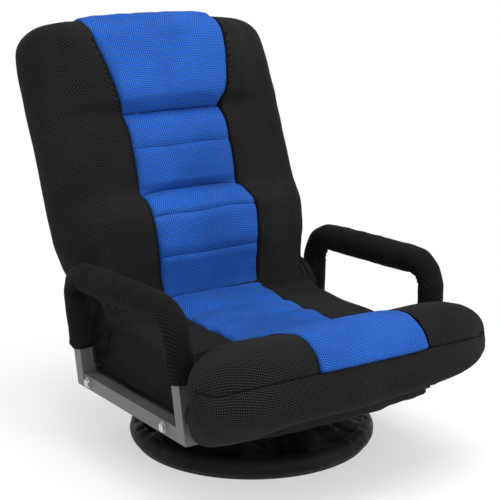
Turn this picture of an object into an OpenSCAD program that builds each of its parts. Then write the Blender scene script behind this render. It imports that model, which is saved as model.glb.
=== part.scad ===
// Floor gaming chair: swivel base, ratchet recliner, two padded arm loops.
// X is across the seat, the sitter faces -Y, Z is up. The origin is the swivel axis on the floor.

/* [Base] */
// Outside diameter of the round floor tube
base_d = 396; // [370:2:430]
// Diameter of the floor tube
ring_tube_d = 28; // [24:1:32]
// Wall of the floor tube
ring_wall = 1.5; // [1:0.25:3]
// Height of the anti-slip band under the tube
band_h = 3; // [2:0.5:5]
// Width of the anti-slip band
band_w = 14; // [10:1:18]
// Height of the level hub above the floor
hub_h = 74; // [66:1:84]
// Half length of the level hub
hub_half = 80; // [70:1:90]
// Width of the pressed cross bars
cross_w = 30; // [22:1:40]
// Depth of the pressed cross bars
cross_t = 16; // [12:1:20]
// Sheet thickness of the cross bars
cross_wall = 2; // [1.5:0.25:3]
// Thickness of the gathered base cover
cover_t = 1.6; // [1.2:0.1:2]
// Depth of the cover's sag between the cross bars
cover_sag = 11; // [6:1:14]
// Radius of the cover's gathered opening
cover_hole_r = 92; // [88:1:100]

/* [Swivel] */
// Side of the square swivel plates
swivel_side = 150; // [136:2:156]
// Thickness of the swivel plates
swivel_plate_t = 2.5; // [2:0.25:3]
// Height of the whole swivel
swivel_h = 18; // [17:0.5:20]
// Diameter of the bearing balls
ball_d = 8; // [7:0.5:9]
// Diameter of the circle that the balls run on
ball_circle_d = 94; // [84:2:98]
// Number of bearing balls
ball_count = 14; // [8:1:20]
// Diameter of the centre rivet
rivet_d = 12; // [8:1:16]
// Distance of the swivel bolts from the axis, each way
swivel_bolt_at = 62; // [54:1:64]
// Diameter of the swivel bolts
swivel_bolt_d = 6; // [5:1:8]

/* [Seat frame] */
// Side of the square tube of the seat and back frames
frame_tube = 20; // [18:1:22]
// Wall of the square tubes
tube_wall = 1.5; // [1:0.25:2.5]
// Width of the seat frame over its side rails
seat_w = 434; // [426:2:444]
// Front of the seat frame from the swivel axis
frame_front = 205; // [195:1:215]
// Rear of the seat frame from the swivel axis
frame_rear = 192; // [186:1:205]
// Width of the webbing straps
strap_w = 44; // [30:1:50]
// Thickness of the webbing straps
strap_t = 1.5; // [1:0.25:2]
// Sag of the bottom cover under the frame
bottom_cover_h = 10; // [4:0.5:12]

/* [Arms] */
// Side of the square arm tube
arm_tube = 22; // [20:1:24]
// Spacing of the two posts
arm_length = 310; // [290:2:330]
// Front post from the swivel axis, at the rail
arm_front = 171; // [160:1:174]
// Height of the top tube above the bottom rail
arm_rise = 181; // [160:1:200]
// Outward splay of the arm loop, degrees
arm_splay = 4; // [2:0.5:6]
// Rearward rake of the posts, degrees
arm_rake = 4; // [2:0.5:6]
// Rise of the top tube towards the front, degrees
arm_pitch = 1.7; // [0:0.1:4]
// Bend radius at the middle of the arm tube
arm_bend_r = 42; // [36:1:50]
// Diameter of the sleeve on the arm rest
sleeve_top_d = 47; // [40:1:50]
// Diameter of the sleeve on the front post
sleeve_front_d = 41; // [38:1:44]
// Diameter of the sleeve on the rear post
sleeve_rear_d = 39; // [34:1:40]
// Bare length of the front post above the rail's middle
bare_front = 82; // [50:1:90]
// Bare length of the rear post above the rail's middle
bare_rear = 53; // [36:1:70]
// Diameter of the arm bolts
arm_bolt_d = 8; // [6:1:10]
// Rear arm bolt from the swivel axis
bolt_rear = 114; // [100:1:120]
// Front arm bolt from the swivel axis
bolt_front = 121; // [110:1:130]

/* [Recliner] */
// Lean of the backrest from upright in the first locked place, degrees
lean = 23.8; // [18:0.2:30]
// Reclining travel from there to flat, degrees
recline = 66.2; // [50:0.1:68]
// Forward travel past the first lock, degrees
recline_forward = 3; // [2:0.5:6]
// Pivot behind the swivel axis
pivot_y = 161; // [158:0.5:166]
// Pivot height above the floor
pivot_z = 179.5; // [176:0.5:184]
// Radius of the padded hinge bolster
bolster_r = 61.7; // [58:0.1:62]
// Thickness of the hinge plates
hinge_t = 3; // [2.5:0.25:3.5]
// Diameter of the hinge pins
hinge_pin_d = 10; // [8:1:12]
// Radius of the toothed quadrant at its tips
tooth_r = 38; // [34:1:38]
// Depth of the teeth
tooth_depth = 4; // [3:0.5:5]
// Number of locked places
lock_places = 6; // [4:1:8]
// Diameter of the pawl pins
pawl_pin_d = 6; // [5:0.5:7]

/* [Seat cushions] */
// Set-back of the seat cushion's sides inside the frame's width
pan_inset = 10; // [9:1:14]
// Height of the seat surface above the floor at its lowest
seat_top = 203; // [196:1:210]
// Crease between the seat and the front roll, from the swivel axis
crease_y = 105; // [98:1:112]
// Half width of the centre panels
panel_half = 96; // [80:1:110]
// Depth of the pocket that the centre panels lie in
panel_sink = 16; // [10:1:20]
// Half width of the front roll
roll_half = 270; // [262:1:290]
// Foremost reach of the front roll
roll_front = 340; // [325:1:350]
// Top of the front roll above the floor
roll_top = 257; // [250:1:264]
// Lowest point of the front roll
roll_bottom = 94; // [93:1:100]

/* [Back cushions] */
// Set-back of the back's foot inside the frame's width
back_inset = 7; // [5:1:12]
// Half width of the back at its widest
back_half_top = 239; // [228:1:248]
// Length of the back from the pivot
back_len = 508; // [500:1:530]
// Thickness of the back at the pivot
back_thick_low = 119; // [114:1:120]
// Thickness of the back at the top
back_thick_top = 98; // [90:1:108]
// Half width of the head pillow at its top
head_half = 126; // [115:1:135]
// Stand-out of the head pillow's seams
head_bulge = 22; // [12:1:28]
// Stand-out of the lumbar panel's seams
lumbar_bulge = 30; // [10:1:34]

/* [Hidden] */
$fn = 64;

// Clearances
run_gap = 0.3;      // between soft solids that slide past each other
bore_gap = 0.05;    // radial, at a turning pin
fit_gap = 0.02;     // radial, at a fixed pin
ball_gap = 0.1;     // between a ball and its race

// Heights
ring_r = (base_d - ring_tube_d) / 2;
ring_z = band_h + ring_tube_d / 2;
frame_z0 = hub_h + swivel_h;
frame_z1 = frame_z0 + frame_tube;
foam_z0 = frame_z1 + strap_t + 0.1;
race_z = hub_h + swivel_h / 2;
rail_mid = frame_z0 + frame_tube / 2;

// Half widths that follow the frame
pan_half = seat_w / 2 - pan_inset;
back_half_low = seat_w / 2 - back_inset;

// Colours
BLACK = [0.11, 0.11, 0.11];
BLUE = [0.16, 0.37, 0.74];
STEEL = [0.42, 0.43, 0.43];
BRIGHT = [0.75, 0.76, 0.78];
DARK = [0.05, 0.05, 0.05];

// Point helpers
function flat(rows) = [for (row = rows) for (p = row) p];
function mean(ps) = [for (k = [0 : 2]) sum([for (p = ps) p[k]]) / len(ps)];
function sum(v, i = 0) = i < len(v) ? v[i] + sum(v, i + 1) : 0;
function mix(a, b, t) = a + (b - a) * t;
function clamp01(t) = min(1, max(0, t));
function ease(t) = let (c = clamp01(t)) c * c * (3 - 2 * c);
function bump(t) = t <= 0 || t >= 1 ? 0 : sin(180 * t);
// Height over 0 of a rounded edge: 0 at e = 1, full at e = 0
function dome(e, n) = pow(max(0, 1 - pow(clamp01(e), n)), 1 / n);
// Value of a piecewise straight curve of [place, value] pairs
function along(curve, x, i = 1) =
  i >= len(curve) - 1 || x <= curve[i][0]
    ? mix(curve[i - 1][1], curve[i][1],
          clamp01((x - curve[i - 1][0]) / (curve[i][0] - curve[i - 1][0])))
    : along(curve, x, i + 1);

// A closed solid through loops of equally many points
module loft(loops) {
  n = len(loops[0]);
  m = len(loops);
  points = concat(flat(loops), [mean(loops[0]), mean(loops[m - 1])]);
  walls = [for (j = [0 : m - 2]) for (i = [0 : n - 1])
    let (a = j * n + i, b = j * n + (i + 1) % n)
    each [[a, b, b + n], [a, b + n, a + n]]];
  first = [for (i = [0 : n - 1]) [(i + 1) % n, i, m * n]];
  last = [for (i = [0 : n - 1]) [(m - 1) * n + i, (m - 1) * n + (i + 1) % n, m * n + 1]];
  polyhedron(concat(points), concat(walls, first, last), convexity = 8);
}

// A closed solid between two grids of points with the same outline
module pad(upper, lower) {
  n = len(upper[0]);
  m = len(upper);
  k = n * m;
  function id(i, j) = j * n + i;
  top = [for (j = [0 : m - 2]) for (i = [0 : n - 2])
    each [[id(i, j), id(i, j + 1), id(i + 1, j + 1)], [id(i, j), id(i + 1, j + 1), id(i + 1, j)]]];
  under = [for (f = top) [f[2] + k, f[1] + k, f[0] + k]];
  rim = concat([for (i = [0 : n - 1]) id(i, 0)], [for (j = [1 : m - 1]) id(n - 1, j)],
               [for (i = [n - 2 : -1 : 0]) id(i, m - 1)], [for (j = [m - 2 : -1 : 1]) id(0, j)]);
  r = len(rim);
  sides = [for (i = [0 : r - 1])
    let (a = rim[i], b = rim[(i + 1) % r]) each [[a, b, b + k], [a, b + k, a + k]]];
  polyhedron(concat(flat(upper), flat(lower)), concat(top, under, sides), convexity = 8);
}

// Square tube along Z from 0 to len
module tube_z(len, side = frame_tube) {
  difference() {
    translate([-side / 2, -side / 2, 0]) cube([side, side, len]);
    translate([-side / 2 + tube_wall, -side / 2 + tube_wall, -1])
      cube([side - 2 * tube_wall, side - 2 * tube_wall, len + 2]);
  }
}
module tube_x(x0, x1, y, z) { translate([x0, y, z]) rotate([0, 90, 0]) tube_z(x1 - x0); }
module tube_y(y0, y1, x, z) { translate([x, y0, z]) rotate([-90, 0, 0]) tube_z(y1 - y0); }
module rod_x(x0, x1, d) { translate([x0, 0, 0]) rotate([0, 90, 0]) cylinder(h = x1 - x0, d = d); }

// The backrest's own frame: x across, y behind the pivot, z up the back
module at_pivot() { translate([0, pivot_y, pivot_z]) children(); }
module on_back(extra = 0) { at_pivot() rotate([-lean - extra, 0, 0]) children(); }
module pivot_cylinder(r, half) { at_pivot() rod_x(-half, half, 2 * r); }

// Base

module ring_solid(extra = 0) {
  translate([0, 0, ring_z]) rotate_extrude($fn = 128)
    translate([ring_r, 0]) circle(d = ring_tube_d + 2 * extra);
}

module base_ring() {
  color(STEEL) difference() {
    ring_solid();
    ring_solid(-ring_wall);
    // Drain holes open the tube towards the floor
    for (a = [45 : 90 : 315]) rotate([0, 0, a]) translate([ring_r, 0, 0]) cylinder(h = ring_z, d = 6);
  }
}

module base_band() {
  color(DARK) difference() {
    rotate_extrude($fn = 128) translate([ring_r - band_w / 2, 0]) square([band_w, band_h * 2]);
    ring_solid();
  }
}

// Side view of a cross bar from the axis to the ring, lowered by drop
function bar_side(drop, inner) =
  let (end = ring_r - 6, slope = (hub_h - ring_z - 10) / (end - hub_half))
  [[inner, hub_h - drop], [hub_half, hub_h - drop], [end, ring_z + 10 - drop],
   [end, ring_z - 10 - drop * 2], [hub_half - cross_t * slope, hub_h - cross_t - drop],
   [inner, hub_h - cross_t - drop]];

module bar_half(inner) {
  rotate([90, 0, 0]) difference() {
    translate([0, 0, -cross_w / 2]) linear_extrude(cross_w) polygon(bar_side(0, inner));
    translate([0, 0, -cross_w / 2 + cross_wall])
      linear_extrude(cross_w - 2 * cross_wall) polygon(bar_side(cross_wall, inner - 1));
  }
}

module bar_cuts() {
  ring_solid(fit_gap);
  for (a = [0 : 90 : 270]) rotate([0, 0, a]) translate([swivel_bolt_at, 0, hub_h - cross_t])
    cylinder(h = cross_t + 1, d = swivel_bolt_d + 2 * fit_gap);
  cylinder(h = hub_h + 1, d = rivet_d + 2 * fit_gap);
}

module base_cross_long() {
  color(STEEL) difference() {
    for (a = [90, 270]) rotate([0, 0, a]) bar_half(0);
    bar_cuts();
  }
}

module base_cross_side(a) {
  color(STEEL) difference() {
    rotate([0, 0, a]) bar_half(cross_w / 2);
    bar_cuts();
  }
}

// The cover's section: round the floor tube, then up to the gathered opening
cover_bend = [for (a = [-48 : 23 : 90]) a];
function cover_rise(u) = [mix(ring_r, cover_hole_r, u), mix(ring_z + ring_tube_d / 2 + 2, hub_h - 1.6, u)];
function cover_rib(phi, side) =
  let (r0 = ring_tube_d / 2 + 0.9 + (side > 0 ? cover_t : 0))
  concat(
    [for (a = cover_bend) [ring_r + r0 * cos(a), ring_z + r0 * sin(a)]],
    [for (u = [0.14, 0.3, 0.5, 0.7, 0.87, 1])
      let (p = cover_rise(u),
           low = cover_sag * sin(180 * u) * pow(sin(2 * phi), 2),
           pleat = 1.6 * sin(180 * min(1, u * 0.7)) * sin(12 * phi))
      [p[0], p[1] - low - 1 + pleat * (u > 0.2 && u < 1 ? 1 : 0) + (side > 0 ? cover_t : 0)]]);

module base_cover() {
  n = 48;
  ribs = [for (k = [0 : n]) let (phi = 360 * (k % n) / n)
    [for (p = concat(cover_rib(phi, 1), [for (q = [12 : -1 : 0]) cover_rib(phi, 0)[q]]))
      [p[0] * cos(phi), p[0] * sin(phi), p[1]]]];
  rows = [for (k = [0 : n - 1]) ribs[k]];
  m = len(rows[0]);
  faces = [for (j = [0 : n - 1]) for (i = [0 : m - 1])
    let (a = j * m + i, b = j * m + (i + 1) % m, k = ((j + 1) % n) * m, c = k + i, d = k + (i + 1) % m)
    each [[a, d, b], [a, c, d]]];
  color(DARK) polyhedron(flat(rows), faces, convexity = 8);
}

module cover_cord() {
  color(DARK) translate([0, 0, hub_h - 2.2]) rotate_extrude($fn = 96)
    translate([cover_hole_r - 1.7, 0]) circle(d = 3, $fn = 24);
}

// Swivel

module race(z0, z1, groove_z) {
  difference() {
    rotate_extrude($fn = 96) translate([ball_circle_d / 2 - ball_d / 2 - 2.5, z0])
      square([ball_d + 5, z1 - z0]);
    translate([0, 0, groove_z]) rotate_extrude($fn = 96)
      translate([ball_circle_d / 2, 0]) circle(d = ball_d + 2 * ball_gap);
  }
}

module swivel_lower_plate() {
  color(BRIGHT) difference() {
    union() {
      translate([-swivel_side / 2, -swivel_side / 2, hub_h]) cube([swivel_side, swivel_side, swivel_plate_t]);
      race(hub_h + swivel_plate_t - 0.5, race_z - 1, race_z);
    }
    cylinder(h = 200, d = rivet_d + 2 * fit_gap);
    for (a = [0 : 90 : 270]) rotate([0, 0, a]) translate([swivel_bolt_at, 0, 0])
      cylinder(h = 200, d = swivel_bolt_d + 2 * fit_gap);
  }
}

module swivel_upper_plate() {
  color(BRIGHT) difference() {
    union() {
      translate([-swivel_side / 2, -swivel_side / 2, frame_z0 - swivel_plate_t])
        cube([swivel_side, swivel_side, swivel_plate_t]);
      race(race_z + 1, frame_z0 - swivel_plate_t + 0.5, race_z);
    }
    cylinder(h = 200, d = rivet_d + 2 * bore_gap);
    for (x = [-1, 1]) for (y = [-1, 1]) translate([x * swivel_bolt_at, y * swivel_bolt_at, 0])
      cylinder(h = 200, d = swivel_bolt_d + 2 * fit_gap);
  }
}

module swivel_balls() {
  color(BRIGHT) for (k = [0 : ball_count - 1]) rotate([0, 0, 360 * k / ball_count])
    translate([ball_circle_d / 2, 0, race_z]) sphere(d = ball_d, $fn = 32);
}

module swivel_rivet() {
  color(BRIGHT) union() {
    translate([0, 0, hub_h - cross_t + cross_wall])
      cylinder(h = frame_z0 + 3 - hub_h + cross_t - cross_wall, d = rivet_d);
    translate([0, 0, hub_h - cross_wall - 3]) cylinder(h = 3, d = rivet_d + 8);
    translate([0, 0, frame_z0 + bore_gap]) cylinder(h = 3 - bore_gap, d = rivet_d + 8);
  }
}

module swivel_lower_bolts() {
  color(BRIGHT) for (a = [0 : 90 : 270]) rotate([0, 0, a]) translate([swivel_bolt_at, 0, 0]) union() {
    translate([0, 0, hub_h - cross_t + 3]) cylinder(h = cross_t - 3 + swivel_plate_t + 1, d = swivel_bolt_d);
    translate([0, 0, hub_h + swivel_plate_t]) cylinder(h = 3, d = swivel_bolt_d + 4);
    translate([0, 0, hub_h - cross_wall - 4]) cylinder(h = 4, d = swivel_bolt_d + 4, $fn = 6);
  }
}

module swivel_upper_bolts() {
  color(BRIGHT) for (x = [-1, 1]) for (y = [-1, 1])
    translate([x * swivel_bolt_at, y * swivel_bolt_at, 0]) union() {
      translate([0, 0, frame_z0 - swivel_plate_t - 1]) cylinder(h = 14, d = swivel_bolt_d);
      translate([0, 0, frame_z0 - swivel_plate_t - 4]) cylinder(h = 4, d = swivel_bolt_d + 4);
    }
}

// Seat frame

rail_x = seat_w / 2 - frame_tube / 2;
inner_x = seat_w / 2 - frame_tube;
rail_lap = 7;

module arm_bolt_bores() {
  for (y = [-bolt_front, bolt_rear]) translate([0, y, rail_mid])
    rod_x(seat_w / 2 - frame_tube - 20, seat_w / 2 + arm_tube + 10, arm_bolt_d + 2 * fit_gap);
}

module seat_rail() {
  color(STEEL) difference() {
    tube_y(-frame_front + frame_tube - rail_lap, frame_rear, rail_x, rail_mid);
    arm_bolt_bores();
  }
}

module cross_rail(y) {
  color(STEEL) difference() {
    tube_x(-inner_x, inner_x, y, rail_mid);
    for (x = [-1, 1]) translate([x * swivel_bolt_at, y, 0])
      cylinder(h = rail_mid, d = swivel_bolt_d + 2 * fit_gap);
  }
}

module seat_rail_front() { color(STEEL) tube_x(-inner_x, inner_x, -frame_front + frame_tube / 2, rail_mid); }
module seat_rail_rear() { color(STEEL) tube_x(-inner_x, inner_x, frame_rear - frame_tube / 2, rail_mid); }

module seat_webbing() {
  pitch = strap_w + 14;
  color(DARK) for (k = [-2 : 2])
    translate([-seat_w / 2 + 12, -15 + k * pitch - strap_w / 2, frame_z1])
      cube([seat_w - 24, strap_w, strap_t]);
}

module seat_bottom_cover() {
  hole = swivel_side + 8;
  lip = 1.8;
  half = inner_x - 4;
  // Half of the sagging cloth's section, from the side to the middle
  sag = [[half, 0], [half, -1.5], [half * 0.74, -0.4 * bottom_cover_h],
         [half * 0.42, -0.9 * bottom_cover_h]];
  color(DARK) difference() {
    union() {
      translate([0, frame_rear, frame_z0]) rotate([90, 0, 0])
        linear_extrude(frame_front + frame_rear + lip)
        polygon(concat([for (q = sag) [-q[0], q[1]]], [[0, -bottom_cover_h]],
                       [for (i = [3 : -1 : 0]) sag[i]]));
      // The cover turns up over the front rail
      translate([-half, -frame_front - lip, frame_z0 - 1]) cube([2 * half, lip, 18]);
    }
    translate([-hole / 2, -hole / 2, 0]) cube([hole, hole, 200]);
  }
}

// Arms

arm_x = seat_w / 2 + arm_tube / 2 + 1;
post_front = [-arm_front, 0];
post_rear = [arm_length - arm_front, 0];
up_a = 90 - arm_rake;
top_a = 180 - arm_pitch;
down_a = 270 - arm_rake;
function dir(a) = [cos(a), sin(a)];
function left_of(a) = [-sin(a), cos(a)];
function on_top(u) = arm_rise - (u - (post_rear[0] + post_front[0]) / 2) * tan(arm_pitch);
// The corners where the post and top lines cross
function corner(u0) =
  let (t = tan(arm_rake), s = tan(arm_pitch), mid = (post_rear[0] + post_front[0]) / 2,
       v = (arm_rise - (u0 - mid) * s) / (1 + t * s))
  [u0 + v * t, v];
rear_corner = corner(post_rear[0]);
front_corner = corner(post_front[0]);
rear_cut = arm_bend_r * tan((top_a - up_a) / 2);
front_cut = arm_bend_r * tan((down_a - top_a) / 2);

module along_arm(p, a) { translate([0, p[0], p[1]]) rotate([a - 90, 0, 0]) children(); }
module straight(p, a, len) { along_arm(p, a) linear_extrude(len) children(); }
module elbow(p, a, turn) {
  c = p + arm_bend_r * left_of(a);
  translate([0, c[0], c[1]]) rotate([90, 0, 90]) rotate([0, 0, a - 90])
    rotate_extrude(angle = turn, $fn = 96) translate([arm_bend_r, 0]) children();
}

rear_t1 = rear_corner - rear_cut * dir(up_a);
rear_t2 = rear_corner + rear_cut * dir(top_a);
front_t1 = front_corner - front_cut * dir(top_a);
front_t2 = front_corner + front_cut * dir(down_a);
top_run = norm(front_t1 - rear_t2);

// The bent tube as a solid; its bends differ by step in width and lap the straights by lap
rear_len = rear_t1[1] / cos(arm_rake);
front_len = front_t2[1] / cos(arm_rake);
lap = 1;
module arm_path(side, low, step) {
  straight(rear_t1 - (rear_len + low) * dir(up_a), up_a, rear_len + low + lap) square(side, center = true);
  elbow(rear_t1, up_a, top_a - up_a) square(side + step, center = true);
  straight(rear_t2 - lap * dir(top_a), top_a, top_run + 2 * lap) square(side, center = true);
  elbow(front_t1, top_a, down_a - top_a) square(side + step, center = true);
  straight(front_t2 - lap * dir(down_a), down_a, front_len + low + lap) square(side, center = true);
}

module arm_plane() { translate([arm_x, 0, rail_mid]) rotate([0, arm_splay, 0]) children(); }
rail_low = rail_mid - arm_tube / 2;
module below(z) { translate([0, -500, z - 100]) cube([500, 1000, 100]); }

module arm_tube_right_hand() {
  color(STEEL) difference() {
    arm_plane() arm_path(arm_tube, 25, -0.1);
    arm_plane() arm_path(arm_tube - 2 * tube_wall, 30, 0.1);
    below(rail_low);
  }
}

module arm_rail_right_hand() {
  y0 = -arm_front;
  y1 = arm_length - arm_front;
  color(STEEL) difference() {
    translate([seat_w / 2, y0, rail_low]) cube([arm_tube, y1 - y0, arm_tube]);
    translate([seat_w / 2 + tube_wall, y0 - 1, rail_low + tube_wall])
      cube([arm_tube - 2 * tube_wall, y1 - y0 + 2, arm_tube - 2 * tube_wall]);
    arm_plane() arm_path(arm_tube, 25, -0.1);
    arm_bolt_bores();
  }
}

module cone(p, a, len, d1, d2) { along_arm(p, a) cylinder(h = len, d1 = d1, d2 = d2); }

module arm_sleeve_right_hand() {
  taper = 26;
  color(BLACK) arm_plane() difference() {
    union() {
      straight([post_rear[0] + bare_rear * tan(arm_rake), bare_rear], up_a,
               (rear_t1[1] - bare_rear) / cos(arm_rake) + lap) circle(d = sleeve_rear_d + 0.4);
      elbow(rear_t1, up_a, top_a - up_a) circle(d = sleeve_rear_d);
      cone(rear_t2 - lap * dir(top_a), top_a, taper + 2 * lap,
           sleeve_rear_d + 0.4, sleeve_top_d - 0.4);
      straight(rear_t2 + taper * dir(top_a), top_a, top_run - 2 * taper) circle(d = sleeve_top_d);
      cone(front_t1 - (taper + lap) * dir(top_a), top_a, taper + 2 * lap,
           sleeve_top_d - 0.4, sleeve_front_d + 0.4);
      elbow(front_t1, top_a, down_a - top_a) circle(d = sleeve_front_d);
      straight(front_t2 - lap * dir(down_a), down_a, (front_t2[1] - bare_front) / cos(arm_rake) + lap)
        circle(d = sleeve_front_d + 0.4);
    }
    arm_path(arm_tube + 0.1, 25, 0.1);
  }
}

module arm_bolts_right_hand() {
  color(BRIGHT) for (y = [-bolt_front, bolt_rear]) translate([0, y, rail_mid]) union() {
    rod_x(inner_x - 7, seat_w / 2 + arm_tube + 2, arm_bolt_d);
    rod_x(seat_w / 2 + arm_tube, seat_w / 2 + arm_tube + 1.4, arm_bolt_d + 8);
    rod_x(seat_w / 2 + arm_tube + 1, seat_w / 2 + arm_tube + 5, arm_bolt_d + 5);
  }
}

module arm_nut_pair() {
  for (y = [-bolt_front, bolt_rear]) translate([0, y, rail_mid]) difference() {
    translate([inner_x - 6.5, 0, 0]) rotate([0, 90, 0]) cylinder(h = 6.5, d = arm_bolt_d + 6.5, $fn = 6);
    rod_x(inner_x - 10, inner_x + 1, arm_bolt_d + 2 * fit_gap);
  }
}

module arm_nuts() {
  color(BRIGHT) {
    arm_nut_pair();
    mirror([1, 0, 0]) arm_nut_pair();
  }
}

module end_cap_pair() {
  intersection() {
    arm_plane() arm_path(arm_tube - 2 * tube_wall - 0.1, 25, 0);
    translate([0, -500, rail_low]) cube([500, 1000, 9]);
  }
}

module arm_end_caps() {
  color(DARK) {
    end_cap_pair();
    mirror([1, 0, 0]) end_cap_pair();
  }
}

// Recliner hinge

seat_plate_x = inner_x - hinge_t;
back_plate_x = seat_plate_x - run_gap - hinge_t;
groove_in = back_plate_x - 4.5;
groove_out = inner_x + 1;
notch = recline / (lock_places - 1);
pawl_at = [12.6, 50.5];

module hinge_seat_plate_right_hand() {
  web_low = frame_z0 - pivot_z;
  color(STEEL) difference() {
    at_pivot() translate([seat_plate_x, 0, 0]) rotate([90, 0, 90]) linear_extrude(hinge_t) union() {
      circle(r = tooth_r - tooth_depth, $fn = 96);
      polygon([[-29, web_low], [8, web_low], [14, -24], [-22, -24]]);
      // Ratchet teeth, one at each locked place
      for (k = [-1 : lock_places - 1]) rotate([0, 0, 104 - lean - (k + 0.5) * notch])
        polygon([[tooth_r - tooth_depth - 2, -3.4], [tooth_r, -1.8],
                 [tooth_r, 1.8], [tooth_r - tooth_depth - 2, 3.4]]);
    }
    pivot_cylinder(hinge_pin_d / 2 + fit_gap, 300);
  }
}

module hinge_pin_right_hand() {
  color(BRIGHT) at_pivot() union() {
    rod_x(back_plate_x - 1, seat_plate_x + hinge_t, hinge_pin_d);
    rod_x(back_plate_x - 3.6, back_plate_x - run_gap, hinge_pin_d + 6);
  }
}

post_h0 = bolster_r + 4;
plate_h1 = post_h0 + 50;

module hinge_back_plate_right_hand() {
  color(STEEL) difference() {
    on_back() translate([back_plate_x, 0, 0]) rotate([90, 0, 90]) linear_extrude(hinge_t) union() {
      circle(r = 18);
      polygon([[-18, 0], [18, 0], [19, 55], [9, 61], [9, plate_h1], [-9, plate_h1], [-9, 61], [-16, 52]]);
    }
    pivot_cylinder(hinge_pin_d / 2 + bore_gap, 300);
    on_back() translate([0, pawl_at[0], pawl_at[1]]) rod_x(0, 300, pawl_pin_d + 2 * fit_gap);
    rivet_bores();
  }
}

module rivet_bores() {
  on_back() for (h = [post_h0 + 14, post_h0 + 38]) translate([0, 0, h])
    rod_x(back_plate_x - tube_wall - 1, back_plate_x + hinge_t + 3, 5 + 2 * fit_gap);
}

module hinge_rivet_pair() {
  on_back() for (h = [post_h0 + 14, post_h0 + 38]) translate([0, 0, h]) union() {
    rod_x(back_plate_x - tube_wall, back_plate_x + hinge_t, 5);
    rod_x(back_plate_x + hinge_t, back_plate_x + hinge_t + 1.2, 8);
    rod_x(back_plate_x - tube_wall - 1, back_plate_x - tube_wall, 8);
  }
}

module hinge_rivets() {
  color(BRIGHT) {
    hinge_rivet_pair();
    mirror([1, 0, 0]) hinge_rivet_pair();
  }
}

pawl_t = 2;
module pawl_right_hand() {
  color(BRIGHT) difference() {
    on_back() translate([seat_plate_x, pawl_at[0], pawl_at[1]]) rotate([90, 0, 90])
      linear_extrude(pawl_t) union() {
      circle(r = 6);
      polygon([[-2, 5.6], [-20.6, -5], [-24.6, -9], [-21.4, -12.2], [-2, -5.6]]);
    }
    on_back() translate([0, pawl_at[0], pawl_at[1]]) rod_x(0, 300, pawl_pin_d + 2 * bore_gap);
  }
}

module pawl_pin_one() {
  on_back() translate([0, pawl_at[0], pawl_at[1]])
    rod_x(back_plate_x, seat_plate_x + hinge_t, pawl_pin_d);
}

module pawl_pins() {
  color(BRIGHT) {
    pawl_pin_one();
    mirror([1, 0, 0]) pawl_pin_one();
  }
}

module pawl_spring_right_hand() {
  wire = 0.8;
  color(BRIGHT) on_back() translate([seat_plate_x + pawl_t + wire / 2, pawl_at[0], pawl_at[1]])
    rotate([0, 90, 0]) rotate_extrude($fn = 48)
      translate([pawl_pin_d / 2 + wire, 0]) circle(d = wire, $fn = 16);
}

// Padded bolster that the back turns round, with a groove for the plates on each side
module hinge_bolster() {
  cheek_out = pan_half + 2;
  color(BLACK) {
    pivot_cylinder(bolster_r, groove_in);
    for (s = [-1, 1]) at_pivot()
      translate([s > 0 ? groove_out : -cheek_out, 0, 0]) rod_x(0, cheek_out - groove_out, 2 * bolster_r);
  }
}

// Seat cushions

pan_rise = [[-crease_y, -3], [-60, 2], [0, 1], [60, 5], [98, 10], [110, 15], [124, 26], [140, 34]];
function pan_top(x, y) = seat_top + along(pan_rise, y) - 8 * pow(abs(x) / pan_half, 2);

// Half of the seat section, from the floor's middle out and up to the top's middle
function pan_side(y) =
  let (top = pan_top(pan_half - 16, y), span = top - foam_z0)
  concat(
    [[0, foam_z0], [pan_half - 8, foam_z0], [pan_half + 3, foam_z0], [pan_half + 5, foam_z0 + 5]],
    [for (k = [1 : 4]) [pan_half + 4 - 1.6 * k, foam_z0 + span * (0.08 + 0.7 * k / 5)]],
    [[pan_half - 5, top - 20], [pan_half - 12, top - 8], [pan_half - 26, pan_top(pan_half - 26, y)]],
    [for (x = [160, 128]) [x, pan_top(x, y)]],
    [[panel_half + 0.4, pan_top(panel_half, y)], [panel_half, seat_top - panel_sink], [0, seat_top - panel_sink]]);
function both_sides(half) =
  concat(half, [for (i = [len(half) - 2 : -1 : 1]) [-half[i][0], half[i][1]]]);

module seat_cushion() {
  rear = 130;
  ys = [-crease_y + run_gap, -90, -60, -30, 0, 30, 60, 90, 110, rear];
  color(BLACK) difference() {
    loft([for (y = ys) [for (p = both_sides(pan_side(y))) [p[0], y, p[1]]]]);
    pivot_cylinder(bolster_r + run_gap, 260);
    back_room();
  }
}

// Room for the back at its forward limit
module back_room() {
  on_back(-recline_forward - 1) translate([-260, -back_thick_low / 2 - 1.5, 0]) cube([520, 200, 200]);
}

// Cross channels of the seat's centre panel
seat_ribs = [-78, -48, -12, 26, 64];
function rib_dip(y, ribs, depth, wide) =
  depth * max([for (r = ribs) max(0, 1 - pow(abs(y - r) / wide, 1.6))]);

module seat_center_panel() {
  ys = [-crease_y + run_gap, -92, -84, -78, -72, -63, -54, -48, -42, -30, -18, -12, -6, 7, 20, 26,
        32, 45, 58, 64, 70, 82, 92, 101, 107, 111];
  xs = [-1, -0.94, -0.6, 0, 0.6, 0.94, 1];
  function crown(y) = 6 - 3 * ease((y - 98) / 12);
  function z(u, y) =
    pan_top(panel_half, y) + 1 + crown(y) * dome(abs(u), 3) - rib_dip(y, seat_ribs, 3.5, 8);
  color(BLUE) difference() {
    pad([for (y = ys) [for (u = xs) [u * (panel_half - 0.3), y, z(u, y)]]],
        [for (y = ys) [for (u = xs) [u * (panel_half - 0.3), y, seat_top - panel_sink]]]);
    pivot_cylinder(bolster_r + run_gap, 260);
    back_room();
  }
}

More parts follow.
